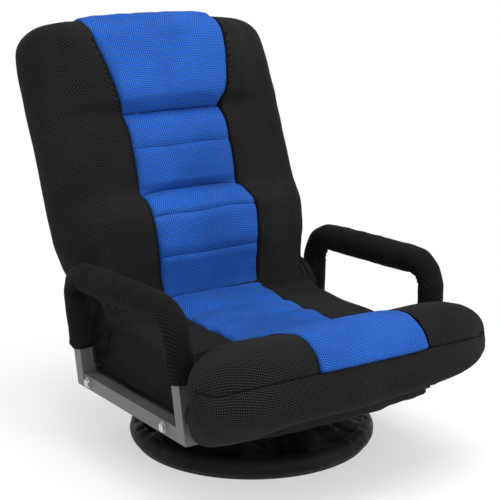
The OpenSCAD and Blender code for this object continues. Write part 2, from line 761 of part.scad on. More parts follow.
// Middle section of the front roll in (y, z), from its rear foot up over the top and round
rear_y = -crease_y;
function in_roll(a, b) = [mix(rear_y, -roll_front, a), mix(roll_bottom, roll_top, b)];
roll_shares = [
  [0.128, 0.718], [0.268, 0.816], [0.421, 0.914], [0.574, 0.975], [0.694, 1], [0.796, 0.957],
  [0.877, 0.871], [0.928, 0.748], [0.974, 0.644], [1, 0.528], [0.987, 0.417], [0.94, 0.331],
  [0.855, 0.264], [0.728, 0.178], [0.583, 0.086]];
seat_step = seat_top - foam_z0;
roll_section = concat(
  [[rear_y, foam_z0], [rear_y, foam_z0 + 0.41 * seat_step], [rear_y, foam_z0 + 0.79 * seat_step],
   [rear_y - 4, seat_top - 6]],
  [for (q = roll_shares) in_roll(q[0], q[1])],
  [[-frame_front - 3, roll_bottom], [-frame_front - 3, foam_z0], [-frame_front + 45, foam_z0]]);
roll_mid = in_roll(0.626, 0.552);
roll_rear_end = -arm_front - 21;
wide_at = pan_half - 3;
round_at = 0.6 * roll_half;
round_low = 0.51 * roll_half;

function roll_point(p, x) =
  let (a = abs(x),
       under = p[1] < roll_mid[1],
       start = under ? round_low - 45 * clamp01((roll_mid[0] - p[0]) / 60) : round_at,
       foot = p[0] > -frame_front && a <= wide_at && under,
       e = foot ? 0 : clamp01((a - start) / (roll_half - start)),
       k = max(0.063, pow(1 - pow(e, under ? 1.85 : 2), under ? 0.54 : 0.5)),
       ahead = p[0] < roll_mid[0],
       y0 = ahead ? p[0] + 21 * pow(a / 200, 3) : p[0],
       y1 = a > wide_at ? min(y0, roll_rear_end) : y0)
  [x, ahead || a > wide_at ? mix(roll_mid[0], y1, k) : y1, mix(roll_mid[1], p[1], k)];

// Depth of the pocket under the front panel at each point of the section
function roll_sink(i) = i >= 2 && i <= 11 ? 10 : 0;
function sunk(i, lift = 0) =
  let (p = roll_section[i], to_mid = roll_mid - p, d = norm(to_mid)) i <= 3
    ? [p[0], min(p[1], seat_top - panel_sink + lift)]
    : p + to_mid * ((roll_sink(i) - lift) / d);

roll_edge = panel_half + 3;
module front_roll() {
  rest = roll_half - wide_at - 1;
  out = concat([roll_edge + 0.4, mix(roll_edge, wide_at, 0.3), mix(roll_edge, wide_at, 0.58),
                mix(roll_edge, wide_at, 0.82), wide_at],
               [for (t = [0, 0.2, 0.4, 0.58, 0.74, 0.87, 0.96, 1]) wide_at + 1 + t * rest]);
  in = [0, 50, roll_edge];
  xs = concat([for (i = [len(out) - 1 : -1 : 0]) -out[i]], [for (i = [2 : -1 : 1]) -in[i]], in, out);
  color(BLACK) loft([for (x = xs) [for (i = [0 : len(roll_section) - 1])
    roll_point(abs(x) <= roll_edge ? sunk(i) : roll_section[i], x)]]);
}

module front_panel() {
  us = [-1, -0.9, -0.5, 0, 0.5, 0.9, 1];
  half = roll_edge - 0.4;
  ids = [for (i = [3 : 11]) i];
  function shell(i, u, out) =
    let (p = roll_section[i], away = (p - roll_mid) / norm(p - roll_mid),
         q = out ? p + away * 2.5 * dome(abs(u), 3) : sunk(i, 0.6))
    roll_point(q, u * half);
  color(BLUE) pad([for (i = ids) [for (u = us) shell(i, u, true)]],
                  [for (i = ids) [for (u = us) shell(i, u, false)]]);
}

// Back cushions, in the backrest's own frame

pocket_d = -frame_tube / 2 - strap_t - 0.1;
floor_d = pocket_d - 34;
// Narrowing of the back towards its top edge, by the height from that edge
corner_cut = [[-80, 0], [-58, 1], [-43, 5], [-30, 12], [-20, 22], [-13, 34], [-8, 51], [-4, 78],
  [-1, 118], [0, 150]];
back_widths = [
  [0, back_half_low], [30, back_half_low + 1], [60, back_half_low + 5], [82, back_half_low + 11],
  [100, back_half_low + 17], [120, back_half_top - 7], [150, back_half_top - 3],
  [262, back_half_top - 2], [372, back_half_top], [600, back_half_top]];
function back_half(h) = along(back_widths, h) - along(corner_cut, h - back_len);
// Stand-out of the seams beside the centre panels, up the back
seam_outs = [
  [0, 0], [22, 0], [54, 3], [82, lumbar_bulge * 0.55], [116, lumbar_bulge * 0.85],
  [149, lumbar_bulge], [179, lumbar_bulge * 0.5], [199, -2], [234, 5], [270, 8], [299, 9], [333, 0],
  [355, head_bulge * 0.8], [377, head_bulge], [411, head_bulge], [453, head_bulge * 0.75], [490, 9],
  [520, 4], [600, 4]];
function seam_out(h) = along(seam_outs, h);
function back_scale(h) =
  let (r = 48, e = (h - back_len + r) / r) e > 0 ? sqrt(max(0.01, 1 - pow(min(1, e), 2.2))) : 1;
back_fronts = [[0, -60], [24, -59], [80, -63], [149, -64], [199, -60], [333, -60], [400, -62],
  [600, -60]];
function back_front_flat(h) = along(back_fronts, h);
function back_rear_flat(h) = mix(back_thick_low, back_thick_top, clamp01(h / 430)) - 60;
function back_mid(h) = (back_front_flat(h) + back_rear_flat(h)) / 2;
function back_front(h) = mix(back_mid(h), back_front_flat(h), back_scale(h));
function back_rear(h) = mix(back_mid(h), back_rear_flat(h), back_scale(h));
function panel_floor(h) = max(floor_d, back_front(h) + 0.5);
// Half width of the centre panels up the back
center_widths = [
  [0, panel_half - 6], [22, panel_half - 4], [82, panel_half], [149, panel_half + 4],
  [180, panel_half], [199, panel_half - 1], [270, panel_half - 1], [333, panel_half - 1],
  [360, panel_half + 9], [400, head_half - 12], [470, head_half], [600, head_half]];
function center_half(h) = along(center_widths, h);

// Half of a back section, from the front's middle outwards and back to the rear's middle
function back_side(h) =
  let (w = back_half(h), a = min(center_half(h), w - 34), x0 = max(a + 10, w - 46),
       f = back_front(h), r = back_rear(h), m = back_mid(h), t = seam_out(h) * back_scale(h),
       fill = 2 * ease((h - 18) / 30))
  concat(
    [[0, panel_floor(h)], [a, panel_floor(h)], [a + 0.4, f - t],
     [mix(a, x0, 0.45), f - fill - t * 0.75], [x0, f - t * 0.2]],
    [for (k = [18 : 18 : 72]) [mix(x0, w, pow(sin(k), 2 / 2.3)), mix(m, f, pow(cos(k), 2 / 2.3))]],
    [[w, m]],
    [for (k = [72 : -18 : 18]) [mix(x0, w, pow(sin(k), 2 / 2.3)), mix(m, r, pow(cos(k), 2 / 2.3))]],
    [[x0, r], [x0 * 0.5, r + 1], [0, r + 1]]);

pocket_top = back_len - 42;
crest_h = back_len - 16;
crest_d = 25;
module back_cushion() {
  hs = concat([0, 30, 60, 82, 100, 120, 149, 175, 199, 240, 290, 333, 360, 390, 420],
              [for (t = [80, 58, 43, 30, 20, 13, 8, 4, 1]) back_len - t]);
  color(BLACK) difference() {
    on_back() loft([for (h = hs) [for (p = both_sides(back_side(h))) [p[0], p[1], h]]]);
    pivot_cylinder(bolster_r + 2 * run_gap, 260);
    on_back() translate([-inner_x - run_gap, pocket_d, -10])
      cube([2 * inner_x + 2 * run_gap, 200, pocket_top + 10]);
    // The head pillow wraps over the top edge
    on_back() translate([-head_half - 0.2, -100, crest_h])
      cube([2 * head_half + 0.4, 100 + crest_d, 60]);
  }
}

module back_rear_panel() {
  half = inner_x - run_gap;
  inner = frame_tube / 2 + 0.4;
  hs = [0, 60, 120, 180, 240, 300, 360, 410, pocket_top - 16, pocket_top - run_gap];
  us = [-1, -0.85, -0.4, 0, 0.4, 0.85, 1];
  function outer(u, h) = back_rear(h) + 1 + 5 * dome(abs(u), 2.4) * bump((h + 60) / (back_len + 30));
  color(BLACK) difference() {
    on_back() pad([for (h = hs) [for (u = us) [u * half, inner, h]]],
                  [for (h = hs) [for (u = us) [u * half, outer(u, h), h]]]);
    pivot_cylinder(bolster_r + 2 * run_gap, 260);
  }
}

// A padded centre panel of the back between two heights
pad_us = [-1, -0.93, -0.62, -0.25, 0.25, 0.62, 0.93, 1];
function pad_front(h, u, crown) =
  back_front(h) - seam_out(h) * back_scale(h) - 0.8 - crown * dome(abs(u), 2.6);
module back_pad(hs, crown) {
  color(BLUE) difference() {
    on_back() pad(
      [for (h = hs) [for (u = pad_us) [u * (center_half(h) - 0.3), pad_front(h, u, crown(h)), h]]],
      [for (h = hs) [for (u = pad_us) [u * (center_half(h) - 0.3), panel_floor(h) - 0.02, h]]]);
    pivot_cylinder(bolster_r + 2 * run_gap, 260);
  }
}

seam_lumbar_low = 82;
seam_lumbar_top = 149;
seam_mid = 199;
seam_rib = 270;
seam_head = 333;

module lumbar_panel() {
  hs = [0, 24, 38, 55, 72, 79, 82, 85, 94, 110, 128, 142, 149, 156, 166, 178, 188, 195, seam_mid - run_gap];
  seams = [seam_lumbar_low, seam_lumbar_top];
  function fall(h) = 1 - ease((h - seam_mid + 21) / 20);
  back_pad(hs, function(h) 9 * ease((h - 16) / 44) * fall(h) - rib_dip(h, seams, 6, 9));
}

module mid_panel() {
  hs = [seam_mid, 204, 212, 228, 244, 256, 264, 270, 276, 284, 298, 314, 326, seam_head - run_gap];
  function rise(h) = ease((h - seam_mid + 3) / 16) * (1 - ease((h - seam_head + 15) / 16));
  back_pad(hs, function(h) 8 * rise(h) - rib_dip(h, [seam_rib], 6, 10));
}

module head_cushion() {
  hs = [seam_head, 338, 346, 360, 380, 410, 440, 464, 480];
  // Front and rear edges of the pillow over the top of the back, as [behind, up] pairs
  over = [[-66, crest_h + 2], [-52, crest_h + 15], [-34, crest_h + 24], [-12, crest_h + 28],
          [10, crest_h + 25]];
  under = [[floor_d - 0.02, crest_h + 0.3], [crest_d - 0.3, crest_h + 0.3], [crest_d - 0.3, crest_h + 6],
           [crest_d - 0.3, crest_h + 11], [crest_d - 0.3, crest_h + 16]];
  function crown(h) = 9 * ease((h - seam_head + 5) / 30) * (1 - 0.4 * ease((h - 440) / 60));
  function x(u, h) = u * (min(center_half(h), head_half) - 0.3);
  function lap_x(u, d) = x(u, back_len) * (1 - 0.0011 * max(0, d + 52));
  color(BLUE) on_back() pad(
    concat([for (h = hs) [for (u = pad_us) [x(u, h), pad_front(h, u, crown(h)), h]]],
           [for (q = over) [for (u = pad_us) [lap_x(u, q[0]), q[0], q[1] - 5 * (1 - dome(abs(u), 2.6))]]]),
    concat([for (h = hs) [for (u = pad_us) [x(u, h), panel_floor(h) - 0.02, h]]],
           [for (i = [0 : 4]) [for (u = pad_us) [lap_x(u, over[i][0]), under[i][0], under[i][1]]]]));
}

// Back frame

post_x = back_plate_x - frame_tube / 2;
post_top = pocket_top - 8;

module back_post_right_hand() {
  color(STEEL) difference() {
    on_back() translate([post_x, 0, post_h0]) tube_z(post_top - post_h0);
    rivet_bores();
  }
}

module back_rail(h) {
  half = post_x - frame_tube / 2;
  color(STEEL) on_back() tube_x(-half, half, 0, h);
}
module back_rail_top() { back_rail(post_top - frame_tube / 2); }
module back_rail_low() { back_rail(post_h0 + 30); }

module back_webbing() {
  half = post_x + frame_tube / 2 - 3;
  color(DARK) on_back() for (k = [0 : 4])
    translate([-half, -frame_tube / 2 - strap_t, 132 + k * (strap_w + 18)])
      cube([2 * half, strap_t, strap_w]);
}

module left_hand() { mirror([1, 0, 0]) children(); }

base_ring();
base_band();
base_cross_long();
base_cross_side(0);  // base_cross_left
base_cross_side(180);  // base_cross_right
base_cover();
cover_cord();
swivel_lower_plate();
swivel_lower_bolts();
swivel_balls();
swivel_rivet();
swivel_upper_plate();
swivel_upper_bolts();
seat_rail();  // seat_rail_left
left_hand() seat_rail();  // seat_rail_right
seat_rail_front();
seat_rail_rear();
cross_rail(-swivel_bolt_at);  // seat_cross_front
cross_rail(swivel_bolt_at);  // seat_cross_rear
seat_webbing();
seat_bottom_cover();
seat_cushion();
seat_center_panel();
front_roll();
front_panel();
hinge_bolster();
arm_tube_right_hand();  // arm_tube_left
left_hand() arm_tube_right_hand();  // arm_tube_right
arm_rail_right_hand();  // arm_rail_left
left_hand() arm_rail_right_hand();  // arm_rail_right
arm_sleeve_right_hand();  // arm_sleeve_left
left_hand() arm_sleeve_right_hand();  // arm_sleeve_right
arm_bolts_right_hand();  // arm_bolts_left
left_hand() arm_bolts_right_hand();  // arm_bolts_right
arm_nuts();
arm_end_caps();
hinge_seat_plate_right_hand();  // hinge_seat_plate_left
left_hand() hinge_seat_plate_right_hand();  // hinge_seat_plate_right
hinge_pin_right_hand();  // hinge_pin_left
left_hand() hinge_pin_right_hand();  // hinge_pin_right
hinge_back_plate_right_hand();  // hinge_back_plate_left
left_hand() hinge_back_plate_right_hand();  // hinge_back_plate_right
hinge_rivets();
pawl_right_hand();  // pawl_left
left_hand() pawl_right_hand();  // pawl_right
pawl_pins();
pawl_spring_right_hand();  // pawl_spring_left
left_hand() pawl_spring_right_hand();  // pawl_spring_right
back_post_right_hand();  // back_post_left
left_hand() back_post_right_hand();  // back_post_right
back_rail_top();
back_rail_low();
back_webbing();
back_cushion();
back_rear_panel();
head_cushion();
mid_panel();
lumbar_panel();
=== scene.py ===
import math

import bpy
import numpy as np
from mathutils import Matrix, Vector


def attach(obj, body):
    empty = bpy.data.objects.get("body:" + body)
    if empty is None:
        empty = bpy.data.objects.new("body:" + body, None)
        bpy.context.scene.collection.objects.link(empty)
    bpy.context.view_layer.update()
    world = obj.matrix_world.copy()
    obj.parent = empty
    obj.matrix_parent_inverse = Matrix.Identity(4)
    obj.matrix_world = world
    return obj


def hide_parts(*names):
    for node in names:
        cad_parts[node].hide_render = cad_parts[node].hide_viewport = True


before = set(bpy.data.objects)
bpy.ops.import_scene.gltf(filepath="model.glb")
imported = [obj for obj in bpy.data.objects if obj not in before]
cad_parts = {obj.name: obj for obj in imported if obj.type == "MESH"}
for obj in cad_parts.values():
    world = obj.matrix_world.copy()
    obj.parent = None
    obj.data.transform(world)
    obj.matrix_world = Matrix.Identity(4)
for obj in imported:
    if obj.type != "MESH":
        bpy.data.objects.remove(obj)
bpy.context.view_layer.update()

# Lengths are in millimetres until a mesh or a material is made. x is to the sitter's left, y to the rear
# and z up. A soft piece is a closed grid of points: its rows follow one another and its columns go round.

TAU = 2 * math.pi
QUARTER = math.pi / 2
MM = 0.001
FAR = 999.0  # stands for no sewn line nearby


# Number helpers


def curve(pairs):
    """A smooth curve through [place, value] pairs that never overshoots them."""
    xs, ys = np.array(pairs, float).T
    slope = np.diff(ys) / np.diff(xs)
    tangent = np.zeros(len(xs))
    tangent[0], tangent[-1] = slope[0], slope[-1]
    for i in range(1, len(slope)):
        a, b = slope[i - 1], slope[i]
        if a * b > 0:
            tangent[i] = 2 * a * b / (a + b)

    def value(x):
        x = np.clip(np.asarray(x, float), xs[0], xs[-1])
        i = np.clip(np.searchsorted(xs, x, side="right") - 1, 0, len(slope) - 1)
        w = xs[i + 1] - xs[i]
        t = (x - xs[i]) / w
        bend = t * (1 - t) * w * ((1 - t) * tangent[i] - t * tangent[i + 1])
        return mix(ys[i], ys[i + 1], ease(t)) + bend

    return value


def mix(a, b, t):
    """From a at t = 0 to b at t = 1."""
    return a + (b - a) * t


def ease(t):
    """From 0 to 1 without a corner at either end."""
    t = np.clip(t, 0, 1)
    return t * t * (3 - 2 * t)


def window(x, start, rise, end, fall):
    """Rises from 0 to 1 past start, over the length rise, and falls to 0 past end, over the length fall."""
    return ease((x - start) / rise) * (1 - ease((x - end) / fall))


def dome(e, n):
    """1 in the middle, e = 0, and 0 at both edges, e = -1 or 1: a higher n is flatter on top."""
    return np.maximum(0, 1 - np.clip(np.abs(e), 0, 1) ** n) ** (1 / n)


def near(d, w):
    """1 on a line, falling to 0 away from it, sharp at the line."""
    return np.exp(-np.abs(d) / w)


def bell(d, w):
    """1 on a line, falling to 0 away from it, round at the line."""
    return np.exp(-((d / w) ** 2))


def signed_power(v, k):
    """|v| to the power k, with the sign of v."""
    return np.sign(v) * np.abs(v) ** k


def groove(e, deep, wide):
    """How deep a soft surface dips towards a seam, at the distance e from it."""
    return deep * (1 - np.sqrt(np.clip(1 - np.clip(1 - e / wide, 0, 1) ** 2, 0, 1)))


def wave(x, scale, seed):
    """Irregular ripples along one direction, about -1 to 1."""
    r = np.random.default_rng(seed)
    s = 0
    for _ in range(7):
        s = s + np.sin(np.asarray(x) * TAU / scale * r.uniform(0.55, 1.6) + r.uniform(0, TAU))
    return s / 3.2


def ripple(P, scale, seed, stretch=(1, 1, 1)):
    """Irregular lumps in space, about -1 to 1."""
    r = np.random.default_rng(seed)
    s = 0
    Q = P * np.array(stretch, float)
    for _ in range(11):
        v = r.normal(size=3)
        v *= r.uniform(0.6, 1.5) / np.linalg.norm(v)
        s = s + np.sin(Q @ v * TAU / scale + r.uniform(0, TAU))
    return s / 3.6


def grid(x, y, z):
    """Points from their coordinates, which can be grids, rows, columns or single numbers."""
    return np.stack(np.broadcast_arrays(x, y, z), -1)


def unit(v):
    """Vectors made 1 long."""
    return v / np.maximum(np.linalg.norm(v, axis=-1, keepdims=True), 1e-9)


def run_length(P, axis=0):
    """How far along a line of points, or along one axis of a grid of them, each point is."""
    steps = np.linalg.norm(np.diff(P, axis=axis), axis=-1)
    return np.cumsum(np.insert(steps, 0, 0, axis=axis), axis=axis)


def spline(points, n):
    """n points, even by length, on a smooth line through the given ones, and their places among these."""
    p = np.array(points, float)
    p = np.vstack([2 * p[0] - p[1], p, 2 * p[-1] - p[-2]])
    fine, place = [], []
    for i in range(1, len(p) - 2):
        a, b, c, d = p[i - 1 : i + 3]
        for t in np.linspace(0, 1, 24, endpoint=False):
            v = 2 * b + (c - a) * t + (2 * a - 5 * b + 4 * c - d) * t * t
            fine.append(0.5 * (v + (3 * b - a - 3 * c + d) * t**3))
            place.append(i - 1 + t)
    fine.append(p[-2])
    place.append(len(p) - 3)
    fine = np.array(fine)
    s = run_length(fine)
    at = np.linspace(0, s[-1], n)
    return np.stack([np.interp(at, s, v) for v in fine.T], 1), np.interp(at, s, place)


def outward(P, away):
    """Unit normals of a closed grid of points, on the side that the vectors away point to."""
    n = unit(np.cross(np.roll(P, -1, 1) - np.roll(P, 1, 1), np.gradient(P, axis=0)))
    return n * (np.sign((n * away).sum(2).mean()) or 1)


def crowded(n, k):
    """n places from -1 to 1, closer together towards the two ends."""
    return np.sin(np.linspace(-1, 1, n) * math.pi / 2 * k) / math.sin(math.pi / 2 * k)


# The columns of a pad, in half widths: its crowned top, and then its underside on the way back. The
# underside takes its places along the pad from the first columns of the top.
ABOVE = crowded(61, 0.985)
BELOW = np.array([1, 0.6, 0.2, -0.2, -0.6, -1])
UNDER = slice(0, len(BELOW))


# Mesh and object helpers


def both(A, sign=1):
    """Carries the columns of a half section on round the other half."""
    return np.concatenate([A, sign * A[..., -2:0:-1]], -1)


def both_refs(count, column):
    """The column that the weave of each column is measured from: one on each side."""
    return np.where(np.arange(count) < count // 2, column, count - column)


def put(name, data):
    """A new object in the scene."""
    o = bpy.data.objects.new(name, data)
    bpy.context.scene.collection.objects.link(o)
    return o


def dress_mesh(me, mat, weave):
    """Smooth shading, the material, and the cloth's own coordinates at each face corner, in metres."""
    me.polygons.foreach_set("use_smooth", np.ones(len(me.polygons), bool))
    me.attributes.new("weave", "FLOAT_VECTOR", "CORNER").data.foreach_set("vector", weave.ravel())
    me.materials.append(mat)


def add(name, P, mat, body, *nodes, slot="black_mesh", ring=False, ref=0, row=0, fill=None, thread=None,
        plain=None):
    """A piece from a grid of points, rows by columns. The columns close, and so do the rows of a ring.

    The cloth's own coordinates are measured along the surface from column ref and row row.
    thread is the distance to the nearest sewn line and the length along it, where the piece has any.
    plain is 1 where a plain dark cloth takes the mesh's place, and less than 1 beside the back's seams,
    where it makes painted shade.
    """
    m, n = P.shape[:2]
    Q = np.concatenate([P, P[:, :1]], 1)
    across = run_length(Q, 1)
    along = run_length(Q, 0)
    along = along - along[row]
    i, j = (v.ravel() for v in np.meshgrid(np.arange(n), np.arange(m if ring else m - 1)))
    i2, j2 = (i + 1) % n, (j + 1) % m
    faces = np.stack([j * n + i, j * n + i2, j2 * n + i2, j2 * n + i], 1)
    start = np.broadcast_to(ref, n)[i]
    corners = ((j, i), (j, i + 1), (j2, i + 1), (j2, i))
    us = np.stack([across[r, c] - across[r, start] for r, c in corners], 1)
    vs = np.stack([along[r, c] for r, c in corners], 1)
    verts = P.reshape(-1, 3)
    caps = np.zeros((0, 3), int)
    if ring:
        # The last faces end at the first row, one step on from the last one
        last = j == m - 1
        step = np.linalg.norm(P[0] - P[-1], axis=1)
        vs[last, 2] = vs[last, 1] + step[i2[last]]
        vs[last, 3] = vs[last, 0] + step[i[last]]
    else:
        verts = np.vstack([verts, P[0].mean(0), P[-1].mean(0)])
        k = np.arange(n)
        k2 = (k + 1) % n
        end = (m - 1) * n
        first_cap = np.stack([k2, k, np.full(n, m * n)], 1)
        last_cap = np.stack([end + k, end + k2, np.full(n, m * n + 1)], 1)
        caps = np.vstack([first_cap, last_cap])
    triangles = np.vstack([faces[:, [0, 1, 2]], faces[:, [0, 2, 3]], caps])
    a, b, c = (verts[triangles[:, k]] for k in range(3))
    inside_out = (np.cross(a, b) * c).sum() < 0
    if inside_out:
        faces, us, vs, caps = faces[:, ::-1], us[:, ::-1], vs[:, ::-1], caps[:, ::-1]

    me = bpy.data.meshes.new(name)
    me.from_pydata((verts * MM).tolist(), [], faces.tolist() + caps.tolist())
    me.validate()
    flat = np.stack([us.ravel(), vs.ravel(), 0 * us.ravel()], 1)
    weave = np.concatenate([flat, verts[caps.ravel()]]) * MM
    dress_mesh(me, mat, weave.astype(np.float32))
    sewn = np.tile(np.array([1, 1, 0], np.float32), (len(verts), 1))
    if thread is not None:
        sewn[: m * n, 0] = thread[0].ravel() * MM
        sewn[: m * n, 1] = thread[1].ravel() * MM
    # The third value marks plain cloth, and painted shade beside the back's seams
    if plain is not None:
        sewn[: m * n, 2] = plain.ravel()
    me.attributes.new("thread", "FLOAT_VECTOR", "POINT").data.foreach_set("vector", sewn.ravel())

    o = put(name, me)
    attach(o, body)
    if nodes:
        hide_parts(*nodes)
    return o


# Camera, fitted to the photograph


def aim(o, place, way):
    """Puts a camera or lamp at a place, looking one way."""
    o.location = place
    o.rotation_mode = "QUATERNION"
    o.rotation_quaternion = way.to_track_quat("-Z", "Y")


def make_camera():
    azimuth, elevation = math.radians(-34.3), math.radians(14.1)
    picture, focal, shift = 500, 1393, -1.6  # pixels
    film, distance, height = 36, 2.225, 0.3117  # millimetres, metres, metres
    level = math.cos(elevation)
    back = Vector((math.sin(azimuth) * level, -math.cos(azimuth) * level, math.sin(elevation)))
    data = bpy.data.cameras.new("camera")
    data.sensor_width = film
    data.lens = focal / picture * film
    data.shift_x = shift / picture
    data.clip_start, data.clip_end = 0.05, 60
    cam = put("camera", data)
    aim(cam, Vector((0, 0, height)) + back * distance, -back)
    bpy.context.scene.camera = cam


make_camera()


# Materials


class Nodes:
    """The node tree of a material or world, cleared, with short calls that add to it."""

    def __init__(self, owner):
        owner.use_nodes = True
        self.tree = owner.node_tree
        self.tree.nodes.clear()

    def set(self, socket, value):
        """Links an input to a node's output, or sets it to a number or colour."""
        if hasattr(value, "is_output"):
            self.tree.links.new(value, socket)
        else:
            socket.default_value = value

    def add(self, kind, *ins, by_key=None, **props):
        """A new node: its properties, its first inputs in order, and others by name or number."""
        node = self.tree.nodes.new("ShaderNode" + kind)
        for key, value in props.items():
            setattr(node, key, value)
        for key, value in list(enumerate(ins)) + list((by_key or {}).items()):
            self.set(node.inputs[key], value)
        return node

    def math(self, op, *values):
        return self.add("Math", *values, operation=op).outputs[0]

    def times(self, a, b):
        return self.math("MULTIPLY", a, b)

    def plus(self, a, b):
        return self.math("ADD", a, b)

    def vec(self, op, *values):
        node = self.add("VectorMath", *values, operation=op)
        return node.outputs["Value" if op == "LENGTH" else "Vector"]

    def scaled(self, v, by):
        return self.vec("MULTIPLY", v, by)

    def range(self, v, a, b, c=0.0, d=1.0):
        """From c where v is a to d where it is b."""
        return self.add("MapRange", v, a, b, c, d, interpolation_type="SMOOTHSTEP").outputs[0]

    def noise(self, coord, scale, detail=3.0, rough=0.5, out=0):
        ins = {"Vector": coord, "Scale": scale, "Detail": detail, "Roughness": rough}
        return self.add("TexNoise", by_key=ins).outputs[out]

    def bands(self, coord, scale, distortion, direction):
        ins = {"Vector": coord, "Scale": scale, "Distortion": distortion}
        return self.add("TexWave", by_key=ins, bands_direction=direction).outputs[1]

    def blend(self, share, a, b):
        """Colour a, and b as far as the share says."""
        return self.add("Mix", by_key={0: share, 6: a, 7: b}, data_type="RGBA").outputs[2]

    def coord(self):
        return self.add("TexCoord").outputs["Object"]

    def attribute(self, name):
        return self.add("Attribute", attribute_name=name).outputs["Vector"]


class Shader(Nodes):
    """A node material around one Principled shader."""

    def __init__(self, name, **consts):
        self.mat = bpy.data.materials.new(name)
        super().__init__(self.mat)
        self.principled = self.add("BsdfPrincipled")
        self.add("OutputMaterial", self.principled.outputs[0])
        for key, value in consts.items():
            self.principled.inputs[key.replace("_", " ")].default_value = value

    def finish(self, colour, rough, height, strength, distance):
        """Links the colour, the roughness and a bump, and gives the material."""
        bump = self.add("Bump", by_key={"Strength": strength, "Distance": distance, "Height": height})
        for key, value in (("Base Color", colour), ("Roughness", rough), ("Normal", bump.outputs[0])):
            self.set(self.principled.inputs[key], value)
        return self.mat


def shade(colour, k):
    """A colour made k times as light."""
    return tuple(c * k for c in colour[:3]) + (1.0,)


def air_mesh(name, yarn, hole, thread, edge, sheen=0.01, tint=(1, 1, 1, 1)):
    """Spacer mesh: staggered rows of small holes in a knitted ground, stitches, and uneven dye.

    edge is where the edge of a hole starts and ends, in pitches from the middle of the hole.
    """
    pitch, tall = 3.8 * MM, 1.7
    s = Shader(name, Sheen_Weight=sheen, Sheen_Roughness=0.45, Sheen_Tint=tint, Specular_IOR_Level=0.07)
    place = s.coord()
    # The rows wander a little
    wander = s.vec("SUBTRACT", s.noise(place, 26.0, 2.0, out=1), (0.5, 0.5, 0.5))
    cloth = s.vec("ADD", s.attribute("weave"), s.scaled(wander, (0.0035, 0.0035, 0.0)))
    cells = s.scaled(cloth, (1 / pitch, 1 / (pitch * tall), 0.0))
    to_hole = []
    for shift in (64.0, 64.5):
        cell = s.vec("FRACTION", s.vec("ADD", cells, (shift, shift, 0.0)))
        cell = s.scaled(s.vec("SUBTRACT", cell, (0.5, 0.5, 0.0)), (1.0, tall, 0.0))
        to_hole.append(s.vec("LENGTH", cell))
    holes = s.range(s.math("MINIMUM", *to_hole), *edge, 1.0, 0.0)
    knit = s.noise(s.scaled(cloth, (1700.0, 700.0, 1.0)), 1.0, 2.0)
    uneven = s.noise(place, 6.0, 4.0, 0.6)
    worn = s.noise(place, 34.0)
    light, dark = shade(yarn, 1.28), shade(yarn, 0.80)
    ground = s.blend(s.range(uneven, 0.3, 0.7), dark, light)
    ground = s.blend(s.times(s.range(knit, 0.35, 0.7), 0.35), ground, dark)
    ground = s.blend(s.times(s.range(worn, 0.5, 0.8), 0.25), ground, light)
    colour = s.blend(s.times(holes, 0.97), ground, hole)
    height = s.plus(s.times(holes, -1.0), s.times(knit, 0.35))
    # Stitches along the sewn lines
    across, run, plain = s.add("SeparateXYZ", s.attribute("thread")).outputs
    line = s.range(s.math("ABSOLUTE", across), 0.0005, 0.0011, 1.0, 0.0)
    dash = s.range(s.math("PINGPONG", s.plus(run, 10.0), 0.0019), 0.0002, 0.0006, 0.25, 1.0)
    stitch = s.times(line, dash)
    colour = s.blend(s.times(stitch, 0.85), colour, thread)
    height = s.plus(height, s.times(stitch, 0.8))
    # Plain dark cloth in place of the mesh, and the same dark colour as painted shade along the back's seams
    plain = s.range(plain, 0.3, 0.7)
    colour = s.blend(plain, colour, s.blend(knit, thread, UNDER_CLOTH_AND_SEAM_SHADE))
    height = s.times(height, s.math("SUBTRACT", 1.0, plain))
    return s.finish(colour, s.range(worn, 0.2, 0.8, 0.78, 0.95), height, 0.75, 0.0008)


def nylon(name, base):
    """Thin plain-woven nylon with small creases."""
    s = Shader(name, Sheen_Weight=0.0, IOR=1.3, Specular_IOR_Level=0.24)
    place = s.coord()
    cloth = s.scaled(s.attribute("weave"), (1.0, 1.0, 0.0))
    grain = s.math("MAXIMUM", *(s.bands(cloth, 260.0, 0.4, axis) for axis in "XY"))
    crease = s.noise(s.scaled(place, (1.0, 1.0, 2.2)), 42.0, 5.0, 0.62)
    dust = s.noise(place, 9.0, 4.0, 0.6)
    dark = shade(base, 0.62)
    colour = s.blend(s.range(dust, 0.3, 0.7), dark, shade(base, 1.5))
    colour = s.blend(s.times(grain, 0.3), colour, dark)
    height = s.plus(s.times(crease, 1.6), s.times(grain, 0.12))
    return s.finish(colour, s.range(crease, 0.3, 0.7, 0.42, 0.66), height, 0.5, 0.0016)


def paint(name, base, wear, metallic=0.1):
    """Powder coat on steel: fine orange peel, faint scuffs, and dust in patches."""
    s = Shader(name, Metallic=metallic, Specular_IOR_Level=0.5)
    place = s.coord()
    peel = s.noise(place, 900.0, 2.0)
    patch = s.noise(place, 14.0, 4.0, 0.6)
    scuff = s.noise(s.scaled(place, (70.0, 26.0, 210.0)), 1.0, 5.0, 0.7)
    colour = s.blend(s.range(patch, 0.3, 0.7), shade(base, 0.9), shade(base, 1.1))
    colour = s.blend(s.times(s.range(scuff, 0.62, 0.78), 0.35), colour, wear)
    dull = s.plus(s.times(patch, 0.6), s.times(scuff, 0.4))
    return s.finish(colour, s.range(dull, 0.3, 0.7, 0.34, 0.5), peel, 0.18, 0.0004)


def metal(name, base):
    """Zinc-plated steel with fine turning marks and dull spots."""
    s = Shader(name, Metallic=1.0)
    place = s.coord()
    marks = s.noise(s.scaled(place, (900.0, 120.0, 120.0)), 1.0)
    spots = s.noise(place, 55.0, 4.0, 0.6)
    colour = s.blend(s.range(spots, 0.35, 0.7), shade(base, 0.8), base)
    dull = s.plus(s.times(marks, 0.5), s.times(spots, 0.5))
    return s.finish(colour, s.range(dull, 0.3, 0.7, 0.22, 0.36), marks, 0.15, 0.0003)


